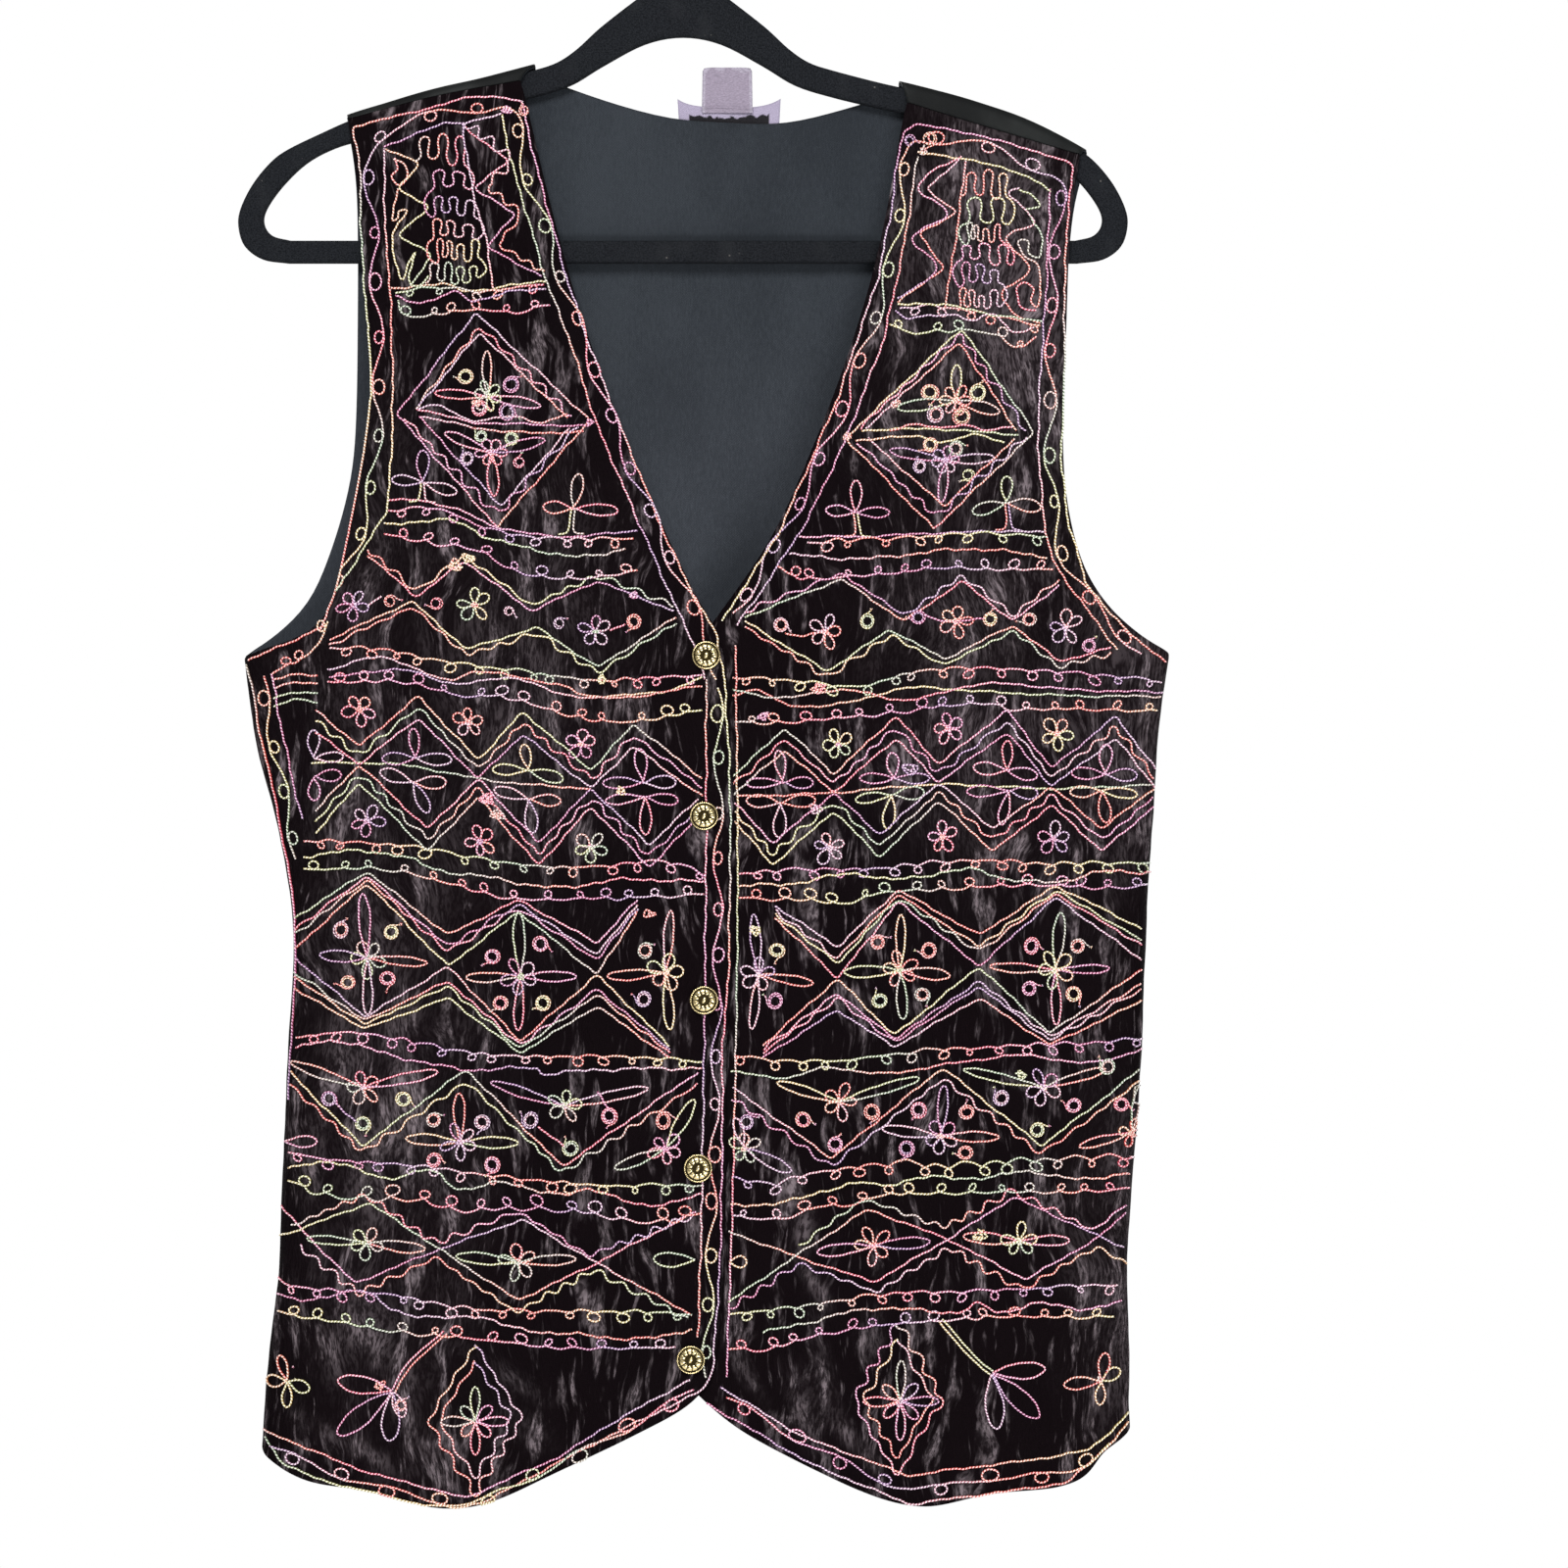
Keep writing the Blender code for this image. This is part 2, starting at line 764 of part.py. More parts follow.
def make_back(collection):
    outer = walled_mesh("back", back_patches(0.0, BACK_WALL))
    add_piece("back", outer, "back_cloth", collection)
    inset = BACK_WALL + SEAM_GAP
    lining = walled_mesh("back_lining", back_patches(inset, inset + LINING_WALL))
    add_piece("back_lining", lining, "lining_cloth", collection)


def neck_height(across):
    """Top edge of the back at the neck."""
    points = sorted(set(BACK_NECK_RIGHT + BACK_NECK_LEFT))
    return float(through([p[0] for p in points], [p[1] for p in points], across))


def make_labels(collection):
    left, right = NECK_LABEL_SIDES
    top_row = []
    foot_row = []
    for x in np.linspace(left, right, NECK_LABEL_STEPS + 1):
        from_middle = abs(2 * (x - left) / (right - left) - 1)
        top = NECK_LABEL_TOP + NECK_LABEL_CORNER_RISE * from_middle**3
        top_row.append((x, LABEL_FRONT_FACE, top))
        foot_row.append((x, LABEL_FRONT_FACE, neck_height(x) + SEAM_GAP))
    ribbon("neck_label", [top_row, foot_row], "label_weave", collection)

    rows = []
    leaning = CARE_LABEL_TOP - CARE_LABEL_FOOT - CARE_LABEL_UPRIGHT
    for height in np.linspace(CARE_LABEL_TOP, CARE_LABEL_FOOT, CARE_LABEL_STEPS + 1):
        above = height - CARE_LABEL_FOOT - CARE_LABEL_UPRIGHT
        lean = CARE_LABEL_LEAN * smooth_step(above / leaning)
        face = LABEL_FRONT_FACE - LABEL_WALL - SEAM_GAP + lean
        rows.append([(x, face, height) for x in CARE_LABEL_SIDES])
    ribbon("care_label", rows, "care_ribbon", collection)


def closed_spline(curve, points):
    spline = curve.splines.new("POLY")
    spline.points.add(len(points) - 1)
    for target, (x, y) in zip(spline.points, points):
        target.co = (x * MM, y * MM, 0, 1)
    spline.use_cyclic_u = True


def made_mesh(piece, name):
    """The evaluated object as a welded mesh, with its place applied."""
    graph = bpy.context.evaluated_depsgraph_get()
    mesh = bpy.data.meshes.new_from_object(piece.evaluated_get(graph))
    mesh.transform(piece.matrix_world)
    welded = bmesh.new()
    welded.from_mesh(mesh)
    bmesh.ops.remove_doubles(welded, verts=welded.verts, dist=JOIN_DISTANCE * MM)
    welded.to_mesh(mesh)
    welded.free()
    mesh.name = name
    return mesh


def make_hanger(collection, cutters):
    outline = bpy.data.curves.new("hanger_outline", "CURVE")
    outline.dimensions = "2D"
    outline.fill_mode = "BOTH"
    outline.extrude = (HANGER_THICKNESS / 2 - HANGER_ROUNDING) * MM
    outline.bevel_depth = HANGER_ROUNDING * MM
    outline.bevel_resolution = 1
    outline.offset = -HANGER_ROUNDING * MM
    for half in (HANGER_OUTER, HANGER_INNER):
        mirrored = [(-x, z) for x, z in reversed(half) if x > 0]
        closed_spline(outline, mirrored + list(half))
    flat = bpy.data.objects.new("hanger_outline", outline)
    flat.rotation_euler = (math.pi / 2, 0, 0)
    collection.objects.link(flat)
    bpy.context.view_layer.update()
    mesh = made_mesh(flat, "hanger")
    bpy.data.objects.remove(flat)
    mesh.materials.clear()
    hanger = add_piece("hanger", mesh, "hanger_flock", collection)

    bpy.ops.mesh.primitive_cylinder_add(
        vertices=SOCKET_SIDES,
        radius=(WIRE_RADIUS + SOCKET_CLEARANCE) * MM,
        depth=2 * SOCKET_DEPTH * MM,
        location=(0, 0, HANGER_OUTER[0][1] * MM),
    )
    socket = bpy.context.object
    socket.name = "socket_cutter"
    socket.hide_render = True
    socket.display_type = "WIRE"
    for holder in list(socket.users_collection):
        holder.objects.unlink(socket)
    cutters.objects.link(socket)
    cut = hanger.modifiers.new("socket", "BOOLEAN")
    cut.operation = "DIFFERENCE"
    cut.object = socket


def hook_route():
    """The wire's middle line, from its point over the rod and down the stem."""
    radius = HOOK_INNER_RADIUS + WIRE_RADIUS
    centre = -HOOK_INNER_RADIUS
    start = math.radians(HOOK_POINT_DEGREES)
    end = math.radians(HOOK_LEAVES_RING_DEGREES)
    route = []
    for angle in np.linspace(start, end, HOOK_RING_STEPS + 1):
        route.append((radius * math.cos(angle), centre + radius * math.sin(angle)))
    leave_x, leave_z = route[-1]
    bend = (
        (leave_x, leave_z),
        (leave_x + HOOK_BEND_REACH * math.sin(end), leave_z - HOOK_BEND_REACH * math.cos(end)),
        (0.0, STEM_TOP + HOOK_BEND_REACH),
        (0.0, STEM_TOP),
    )
    for share in np.linspace(0, 1, HOOK_BEND_STEPS + 1)[1:]:
        weights = [math.comb(3, k) * share**k * (1 - share) ** (3 - k) for k in range(4)]
        x, z = np.dot(weights, bend)
        route.append((x, z))
    route.append((0.0, STEM_FOOT))
    return route


def make_hook(collection):
    wire = bpy.data.curves.new("hook", "CURVE")
    wire.dimensions = "3D"
    wire.bevel_depth = WIRE_RADIUS * MM
    wire.bevel_resolution = 2
    wire.use_fill_caps = True
    route = hook_route()
    spline = wire.splines.new("POLY")
    spline.points.add(len(route) - 1)
    for target, (x, z) in zip(spline.points, route):
        target.co = (x * MM, 0, z * MM, 1)
    add_piece("hook", wire, "hook_steel", collection)


def make_button(name, across, height, collection):
    """A turned shank button that stands on the top front."""
    ring = Ring(height)
    face = ring.point(ring.unroll(across))[1]
    face += right_relief(across, height)
    profile = bmesh.new()
    line = [(0, BUTTON_PROFILE[0][1])] + list(BUTTON_PROFILE) + [(0, BUTTON_TOP)]
    points = [profile.verts.new((radius * MM, 0, rise * MM)) for radius, rise in line[::-1]]
    for a, b in zip(points, points[1:]):
        profile.edges.new((a, b))
    mesh = bpy.data.meshes.new(name)
    profile.to_mesh(mesh)
    profile.free()
    button = add_piece(name, mesh, "gilt", collection)
    turn = button.modifiers.new("turn", "SCREW")
    turn.steps = BUTTON_STEPS
    turn.render_steps = BUTTON_STEPS
    turn.use_merge_vertices = True
    turn.merge_threshold = BUTTON_MERGE * MM
    button.location = (across * MM, -face * MM, height * MM)
    button.rotation_euler = (math.pi / 2, 0, 0)


def main():
    for old in list(bpy.data.objects):
        bpy.data.objects.remove(old)
    vest = bpy.data.collections.new("embroidered_vest")
    cutters = bpy.data.collections.new("cutters")
    for holder in (vest, cutters):
        bpy.context.scene.collection.children.link(holder)
    make_fronts(vest)
    make_back(vest)
    make_labels(vest)
    make_hanger(vest, cutters)
    make_hook(vest)
    for number, (across, height) in enumerate(BUTTONS, start=1):
        make_button(f"button_{number}", across, height, vest)


main()
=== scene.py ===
"""Looks for an embroidered velvet vest on its hanger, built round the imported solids."""

import math

import bmesh
import bpy
import numpy as np
from mathutils import Matrix, Vector, noise
from mathutils.bvhtree import BVHTree


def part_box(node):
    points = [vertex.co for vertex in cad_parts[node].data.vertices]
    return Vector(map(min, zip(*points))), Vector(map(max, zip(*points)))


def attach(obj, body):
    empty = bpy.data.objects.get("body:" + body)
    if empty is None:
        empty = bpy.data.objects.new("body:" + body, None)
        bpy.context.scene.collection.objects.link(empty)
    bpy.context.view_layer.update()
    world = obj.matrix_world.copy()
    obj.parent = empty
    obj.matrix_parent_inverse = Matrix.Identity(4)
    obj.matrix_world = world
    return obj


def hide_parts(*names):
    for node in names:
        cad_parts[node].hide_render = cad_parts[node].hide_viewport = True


MM = 0.001
FULL_TURN = 2 * math.pi
WELD = 0.02 * MM
SAME_SIDE = 0.6

# Threads, in millimetres. The shorter steps are for lines that bend more.
THREAD_STEP = 1.25
WAVE_STEP = 0.8
LOOP_STEP = 0.7
THREAD_HALF_WIDTH = 0.5
THREAD_HEIGHT = 0.72
THREAD_SINK = 0.05
THREAD_LIFT = 0.45
THREAD_FACES_ROUND = 5
THREAD_WRAP_DEGREES = 25
THREAD_TWIST = 1.7
PLY_SLANT = 4.2
COLOUR_RUN = 520.0
WOUND_TIGHT = 0.74
# Where the thread is looked for on the cloth, in metres: from in front, or near here.
LOOK_FROM = -0.2
LOOK_NEAR = -0.012

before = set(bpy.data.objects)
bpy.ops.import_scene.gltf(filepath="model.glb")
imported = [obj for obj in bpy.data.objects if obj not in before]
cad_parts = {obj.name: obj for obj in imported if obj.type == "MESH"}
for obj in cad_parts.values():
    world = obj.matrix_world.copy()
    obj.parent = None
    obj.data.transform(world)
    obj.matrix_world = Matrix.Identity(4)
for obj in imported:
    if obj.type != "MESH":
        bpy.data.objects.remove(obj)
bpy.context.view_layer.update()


def bump(value, half_width):
    """1 at nothing, and softly down to 0 beyond the half width."""
    return np.exp(-((value / half_width) ** 2))


def smooth_step(value):
    """From 0 to 1 with soft ends, as the value does."""
    share = np.clip(value, 0.0, 1.0)
    return share * share * (3.0 - 2.0 * share)


# Materials.


def feed(tree, node, feeds):
    """Sets or links a node's inputs, given by name or number."""
    for key, value in feeds.items():
        if isinstance(value, bpy.types.NodeSocket):
            tree.links.new(value, node.inputs[key])
        else:
            node.inputs[key].default_value = value


def put(tree, kind, feeds=(), **settings):
    """A new node with its settings and its inputs."""
    made = tree.nodes.new(kind)
    for name, value in settings.items():
        setattr(made, name, value)
    feed(tree, made, dict(feeds))
    return made


def sums(tree, operation, *values):
    """The result of a Math node on values or sockets."""
    return put(tree, "ShaderNodeMath", dict(enumerate(values)), operation=operation).outputs[0]


def vectors(tree, operation, first, second):
    """The result of a Vector Math node on two vectors."""
    return put(tree, "ShaderNodeVectorMath", {0: first, 1: second}, operation=operation).outputs[0]


def spread(tree, value, low, high, to_low=0.0, to_high=1.0):
    """The value's range mapped softly onto another."""
    feeds = {"Value": value, "From Min": low, "From Max": high, "To Min": to_low, "To Max": to_high}
    return put(tree, "ShaderNodeMapRange", feeds, interpolation_type="SMOOTHSTEP").outputs[0]


def blend_colours(tree, share, first, second, how="MIX"):
    """Mixes two colours, which are sockets or values."""
    feeds = {0: share, 6: first, 7: second}
    return put(tree, "ShaderNodeMix", feeds, data_type="RGBA", blend_type=how).outputs[2]


def stretched(tree, scale):
    """Object coordinates, scaled on each axis."""
    place = put(tree, "ShaderNodeTexCoord").outputs["Object"]
    return put(tree, "ShaderNodeMapping", {"Vector": place, "Scale": scale}).outputs[0]


def on_map(tree, uv_map):
    """Where on the piece's own map: across and along."""
    place = put(tree, "ShaderNodeUVMap", uv_map=uv_map).outputs[0]
    apart = put(tree, "ShaderNodeSeparateXYZ", {0: place})
    return apart.outputs[0], apart.outputs[1]


def finish(name):
    """A new material with its tree and its shader."""
    made = bpy.data.materials.new(name)
    made.use_nodes = True
    return made, made.node_tree, made.node_tree.nodes["Principled BSDF"]


def raise_pile(tree, shader, height, distance, strength):
    """Lets the height tilt the surface, by a distance in metres."""
    feeds = {"Height": height, "Distance": distance, "Strength": strength}
    made = put(tree, "ShaderNodeBump", feeds)
    tree.links.new(made.outputs[0], shader.inputs["Normal"])


def weave_group():
    """Plain weave on a mapped place: how high the thread stands, 0 to 1."""
    group = bpy.data.node_groups.new("plain_weave", "ShaderNodeTree")
    group.interface.new_socket("Place", in_out="INPUT", socket_type="NodeSocketVector")
    group.interface.new_socket("Height", in_out="OUTPUT", socket_type="NodeSocketFloat")
    place = put(group, "NodeGroupInput").outputs[0]
    apart = put(group, "ShaderNodeSeparateXYZ", {0: place})
    across = sums(group, "SINE", apart.outputs[0])
    down = sums(group, "SINE", apart.outputs[2])
    crossed = sums(group, "MULTIPLY", across, down)
    shares = sums(group, "MULTIPLY_ADD", crossed, 0.5, 0.5)
    put(group, "NodeGroupOutput", {0: shares})
    return group


def use_weave(tree, threads_per_metre):
    """The height of a plain weave of that many threads."""
    turns = math.pi * threads_per_metre
    made = put(tree, "ShaderNodeGroup", node_tree=bpy.data.node_groups["plain_weave"])
    tree.links.new(stretched(tree, (turns, turns, turns)), made.inputs[0])
    return made.outputs[0]


def noisy(tree, place, detail=2.0, rough=0.5, output=0):
    """Noise at a place whose scale is already set."""
    feeds = {"Vector": place, "Scale": 1.0, "Detail": detail, "Roughness": rough}
    return put(tree, "ShaderNodeTexNoise", feeds).outputs[output]


# How far the velvet's painted sheen streaks wander across and down, in metres.
PILE_WANDER = (0.030, 0.0, 0.026)


def velvet():
    """Crushed velvet: near black, with painted sheen in upright wavy streaks and patches where the pile
    leans.
    """
    made, tree, shader = finish("crushed_velvet")
    wander = noisy(tree, stretched(tree, (24, 24, 16)), output="Color")
    moved = vectors(tree, "MULTIPLY", wander, PILE_WANDER)
    place = vectors(tree, "ADD", stretched(tree, (1, 1, 1)), moved)

    def scaled(across, down):
        """The wandering place, drawn out in height."""
        return put(tree, "ShaderNodeMapping", {"Vector": place, "Scale": (across, across, down)}).outputs[0]

    # Painted sheen: the marked patches and the masks below lighten the base colour in streaks, patches and
    # clouds where the leaning pile would catch the light.
    painted_sheen_patch = put(tree, "ShaderNodeAttribute", attribute_name="painted_sheen_patch").outputs["Fac"]
    patch = sums(tree, "MULTIPLY_ADD", painted_sheen_patch, 0.06, noisy(tree, scaled(128, 25), 3.0))
    streak = spread(tree, patch, 0.545, 0.68)
    thin = spread(tree, noisy(tree, scaled(430, 42)), 0.60, 0.72, 0.0, 0.6)
    ripple = spread(tree, noisy(tree, scaled(300, 110), 2.0, 0.6), 0.36, 0.60, 0.30, 1.0)
    hair = spread(tree, noisy(tree, scaled(820, 190), 2.0, 0.7), 0.38, 0.62, 0.12, 1.0)
    mottle = spread(tree, noisy(tree, scaled(60, 22)), 0.42, 0.62, 0.08, 0.42)
    cloud = sums(tree, "MULTIPLY", painted_sheen_patch, mottle)
    lit = sums(tree, "MULTIPLY", sums(tree, "MAXIMUM", streak, thin), ripple)
    lean = sums(tree, "MULTIPLY", sums(tree, "MAXIMUM", lit, cloud), hair)
    # The near-black colour is mixed towards a grey-violet painted sheen colour; lean is the painted sheen
    # mask.
    colour = blend_colours(tree, lean, (0.0036, 0.0022, 0.0028, 1), (0.130, 0.106, 0.116, 1))
    feed(tree, shader, {"Base Color": colour, "Roughness": 0.9, "Specular IOR Level": 0.01})
    raise_pile(tree, shader, sums(tree, "ADD", ripple, hair), 0.0006, 0.7)
    return made


def lining():
    """Matte plain weave with a blue-green cast, and painted shade that darkens it towards the top."""
    made, tree, shader = finish("lining_weave")
    cloud = noisy(tree, stretched(tree, (16, 16, 8)), 3.0)
    slub = noisy(tree, stretched(tree, (1100, 1100, 260)), 3.0, 0.8)
    weave = use_weave(tree, 1500)
    tone = sums(tree, "ADD", sums(tree, "MULTIPLY", cloud, 0.55), sums(tree, "MULTIPLY", slub, 0.45))
    # Painted shade: upper is a darker set of colours for the top of the lining and lower a lighter set for
    # further down. The colour goes from one to the other with height, standing in for less light reaching the
    # top.
    height = put(tree, "ShaderNodeSeparateXYZ", {0: stretched(tree, (1, 1, 1))}).outputs[2]
    shade = spread(tree, tone, 0.34, 0.66)
    upper = blend_colours(tree, shade, (0.0145, 0.0168, 0.0210, 1), (0.0260, 0.0300, 0.0362, 1))
    lower = blend_colours(tree, shade, (0.0238, 0.0266, 0.0326, 1), (0.0410, 0.0455, 0.0548, 1))
    colour = blend_colours(tree, spread(tree, height, -0.23, -0.37), upper, lower)
    darker = blend_colours(tree, sums(tree, "MULTIPLY", weave, 0.3), colour, (0.010, 0.013, 0.014, 1))
    feed(tree, shader, {"Base Color": darker, "Roughness": 0.9, "Specular IOR Level": 0.08})
    raise_pile(tree, shader, weave, 0.00012, 0.6)
    return made


def back_cloth():
    """Black lining satin of the outer back and the shoulder strips."""
    made, tree, shader = finish("back_satin")
    cloud = noisy(tree, stretched(tree, (34, 34, 16)), 4.0)
    weave = use_weave(tree, 1300)
    shade = spread(tree, cloud, 0.42, 0.66)
    colour = blend_colours(tree, shade, (0.0032, 0.0037, 0.0038, 1), (0.0078, 0.0090, 0.0088, 1))
    rough = spread(tree, cloud, 0.3, 0.7, 0.75, 0.55)
    feed(tree, shader, {"Base Color": colour, "Roughness": rough, "Specular IOR Level": 0.12})
    tall = sums(tree, "ADD", sums(tree, "MULTIPLY", weave, 0.12), cloud)
    raise_pile(tree, shader, tall, 0.0010, 0.5)
    return made


THREAD_COLOURS = (
    # share of the run, colour
    (0.00, (0.77, 0.55, 0.60)),
    (0.06, (0.81, 0.46, 0.41)),
    (0.12, (0.78, 0.32, 0.30)),
    (0.18, (0.80, 0.57, 0.47)),
    (0.26, (0.79, 0.71, 0.50)),
    (0.34, (0.67, 0.67, 0.47)),
    (0.41, (0.52, 0.59, 0.48)),
    (0.47, (0.67, 0.58, 0.56)),
    (0.53, (0.83, 0.50, 0.43)),
    (0.60, (0.77, 0.29, 0.39)),
    (0.66, (0.80, 0.48, 0.56)),
    (0.73, (0.70, 0.41, 0.58)),
    (0.79, (0.65, 0.25, 0.43)),
    (0.85, (0.50, 0.33, 0.53)),
    (0.91, (0.66, 0.52, 0.62)),
    (1.00, (0.77, 0.55, 0.60)),
)


def thread():
    """Twisted rayon thread whose colour changes along its own length, with a painted highlight on the top of
    each ply and painted shade on the thread's sides and in the grooves of its twist.
    """
    made, tree, shader = finish("variegated_thread")
    across, along = on_map(tree, "thread")
    place = sums(tree, "FRACT", sums(tree, "DIVIDE", along, COLOUR_RUN))
    ramp = put(tree, "ShaderNodeValToRGB", {0: place})
    stops = ramp.color_ramp.elements
    while len(stops) < len(THREAD_COLOURS):
        stops.new(0.5)
    for stop, (share, colour) in zip(stops, THREAD_COLOURS):
        stop.position = share
    for stop, (share, colour) in zip(stops, THREAD_COLOURS):
        stop.color = (*colour, 1)
    light = ramp.outputs[0]
    # Darker, richer copies of the thread's colour, used for the painted shade.
    twice = blend_colours(tree, 1.0, light, light, "MULTIPLY")
    thrice = blend_colours(tree, 1.0, twice, light, "MULTIPLY")
    darkest_shade = blend_colours(tree, 1.0, thrice, thrice, "MULTIPLY")
    slant = sums(tree, "MULTIPLY", across, PLY_SLANT)
    wound = sums(tree, "SINE", sums(tree, "MULTIPLY_ADD", along, FULL_TURN / THREAD_TWIST, slant))
    ply = sums(tree, "POWER", sums(tree, "MULTIPLY_ADD", wound, 0.5, 0.5), 0.45)
    aside = sums(tree, "ABSOLUTE", sums(tree, "MULTIPLY_ADD", across, 2.0, -1.0))
    top = sums(tree, "MULTIPLY", ply, spread(tree, aside, 1.0, 0.2))
    # Painted highlight: the top of each ply is mixed towards a pale near-white.
    painted_highlight = blend_colours(tree, spread(tree, top, 0.6, 1.0, 0.0, 0.32), light, (0.82, 0.77, 0.76, 1))
    # Painted shade: the thread's sides and the grooves of its twist take the darker copies.
    painted_side_shade = blend_colours(tree, spread(tree, top, 0.05, 0.45), darkest_shade, thrice)
    colour = blend_colours(tree, spread(tree, top, 0.28, 0.95), painted_side_shade, painted_highlight)
    looks = {"Base Color": colour, "Roughness": 0.5, "Sheen Weight": 0.1, "Sheen Roughness": 0.4}
    feed(tree, shader, looks)
    raise_pile(tree, shader, ply, 0.0004, 0.9)
    return made


def gilt():
    """Antique pale gold, dark in the hollows, rubbed bright on the raised parts."""
    made, tree, shader = finish("antique_gilt")
    hollow = put(tree, "ShaderNodeAttribute", attribute_name="hollow").outputs["Fac"]
    patina = noisy(tree, stretched(tree, (900, 900, 900)), 4.0)
    dirt = spread(tree, sums(tree, "ADD", hollow, sums(tree, "MULTIPLY", patina, 0.30)), 0.30, 0.80)
    colour = blend_colours(tree, dirt, (0.72, 0.59, 0.31, 1), (0.026, 0.019, 0.007, 1))
    rough = spread(tree, dirt, 0, 1, 0.22, 0.65)
    feed(tree, shader, {"Base Color": colour, "Roughness": rough, "Metallic": 1.0})
    raise_pile(tree, shader, patina, 0.0001, 0.4)
    return made


def flock():
    """Short black flock with a little dust."""
    made, tree, shader = finish("hanger_flock")
    nap = noisy(tree, stretched(tree, (1400, 1400, 1400)), 3.0)
    rubbed = noisy(tree, stretched(tree, (60, 60, 40)), 3.0)
    cells = {"Vector": stretched(tree, (160, 160, 160)), "Scale": 1.0}
    specks = put(tree, "ShaderNodeTexVoronoi", cells).outputs[0]
    dust = sums(tree, "MULTIPLY", spread(tree, specks, 0.10, 0.045), spread(tree, rubbed, 0.52, 0.62))
    shade = spread(tree, nap, 0.3, 0.7)
    tone = blend_colours(tree, shade, (0.0043, 0.0048, 0.0060, 1), (0.0126, 0.0138, 0.0164, 1))
    worn = blend_colours(tree, spread(tree, rubbed, 0.5, 0.75, 0, 0.5), tone, (0.015, 0.016, 0.018, 1))
    dusty = blend_colours(tree, sums(tree, "MULTIPLY", dust, 0.4), worn, (0.16, 0.15, 0.14, 1))
    feed(tree, shader, {"Base Color": dusty, "Roughness": 0.95, "Specular IOR Level": 0.05})
    raise_pile(tree, shader, nap, 0.0004, 0.8)
    return made


def wire():
    """Bright wire with faint marks along its length."""
    made, tree, shader = finish("hook_chrome")
    drawn = noisy(tree, stretched(tree, (500, 500, 90)))
    colour = blend_colours(tree, drawn, (0.60, 0.60, 0.61, 1), (0.74, 0.74, 0.75, 1))
    rough = spread(tree, drawn, 0.3, 0.7, 0.12, 0.24)
    feed(tree, shader, {"Base Color": colour, "Roughness": rough, "Metallic": 1.0})
    raise_pile(tree, shader, drawn, 0.00004, 0.4)
    return made


def label_satin(name, edge, middle, edge_share, hem_share, grain_share):
    """A woven satin label, with one colour at its sides and hem and one between."""
    made, tree, shader = finish(name)
    across, along = on_map(tree, "label")
    from_middle = sums(tree, "ABSOLUTE", sums(tree, "MULTIPLY_ADD", across, 2.0, -1.0))
    side = spread(tree, from_middle, edge_share - 0.02, edge_share + 0.02)
    fray = noisy(tree, stretched(tree, (260, 260, 260)))
    frayed = sums(tree, "MULTIPLY_ADD", fray, 0.5, along)
    hem = spread(tree, frayed, hem_share + 0.21, hem_share + 0.29)
    ribs = sums(tree, "SINE", sums(tree, "MULTIPLY", along, 190.0))
    grain = noisy(tree, stretched(tree, (900, 900, 2600)))
    colour = blend_colours(tree, sums(tree, "MAXIMUM", side, hem), (*middle, 1), (*edge, 1))
    dulled = spread(tree, grain, 0.3, 0.7, 0.0, grain_share)
    toned = blend_colours(tree, dulled, colour, (0.05, 0.045, 0.06, 1))
    feed(tree, shader, {"Base Color": toned, "Roughness": 0.5, "Specular IOR Level": 0.08})
    raise_pile(tree, shader, sums(tree, "MULTIPLY_ADD", ribs, 0.5, grain), 0.00008, 0.6)
    return made


# Cloth.


def add_piece(name, mesh, material, slot, *nodes):
    """Links a finished mesh, which rides on the one body."""
    mesh.materials.clear()
    mesh.materials.append(material)
    piece = bpy.data.objects.new(name, mesh)
    bpy.context.scene.collection.objects.link(piece)
    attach(piece, "root")
    if nodes:
        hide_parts(*nodes)
    return piece


def one_side(node, eye, look):
    """The side of a CAD wall that a look from the eye meets, as welded quads."""
    wall = bmesh.new()
    wall.from_mesh(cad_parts[node].data)
    bmesh.ops.remove_doubles(wall, verts=wall.verts, dist=WELD)
    bmesh.ops.recalc_face_normals(wall, faces=wall.faces)
    wall.faces.ensure_lookup_table()
    hit = BVHTree.FromBMesh(wall).ray_cast(Vector(eye) * MM, Vector(look))
    found = {wall.faces[hit[2]]}
    front = list(found)
    while front:
        face = front.pop()
        for edge in face.edges:
            for other in edge.link_faces:
                if other not in found and face.normal.dot(other.normal) > SAME_SIDE:
                    found.add(other)
                    front.append(other)
    rest = [face for face in wall.faces if face not in found]
    bmesh.ops.delete(wall, geom=rest, context="FACES")
    bend, skew = math.radians(50), math.radians(60)
    bmesh.ops.join_triangles(wall, faces=wall.faces, angle_face_threshold=bend, angle_shape_threshold=skew)
    mesh = bpy.data.meshes.new(node + "_side")
    wall.to_mesh(mesh)
    wall.free()
    return mesh


def finer(mesh, levels):
    """The mesh subdivided and smoothed for good."""
    holder = bpy.data.objects.new("holder", mesh)
    bpy.context.scene.collection.objects.link(holder)
    rounds = holder.modifiers.new("finer", "SUBSURF")
    rounds.levels = rounds.render_levels = levels
    rounds.boundary_smooth = "PRESERVE_CORNERS"
    graph = bpy.context.evaluated_depsgraph_get()
    result = bpy.data.meshes.new_from_object(holder.evaluated_get(graph))
    bpy.data.objects.remove(holder)
    return result


def places(mesh):
    """The mesh's points in millimetres, and which way each faces."""
    points = np.empty(len(mesh.vertices) * 3)
    mesh.vertices.foreach_get("co", points)
    facing = np.empty(len(mesh.vertices) * 3)
    mesh.vertex_normals.foreach_get("vector", facing)
    return points.reshape(-1, 3) / MM, facing.reshape(-1, 3)


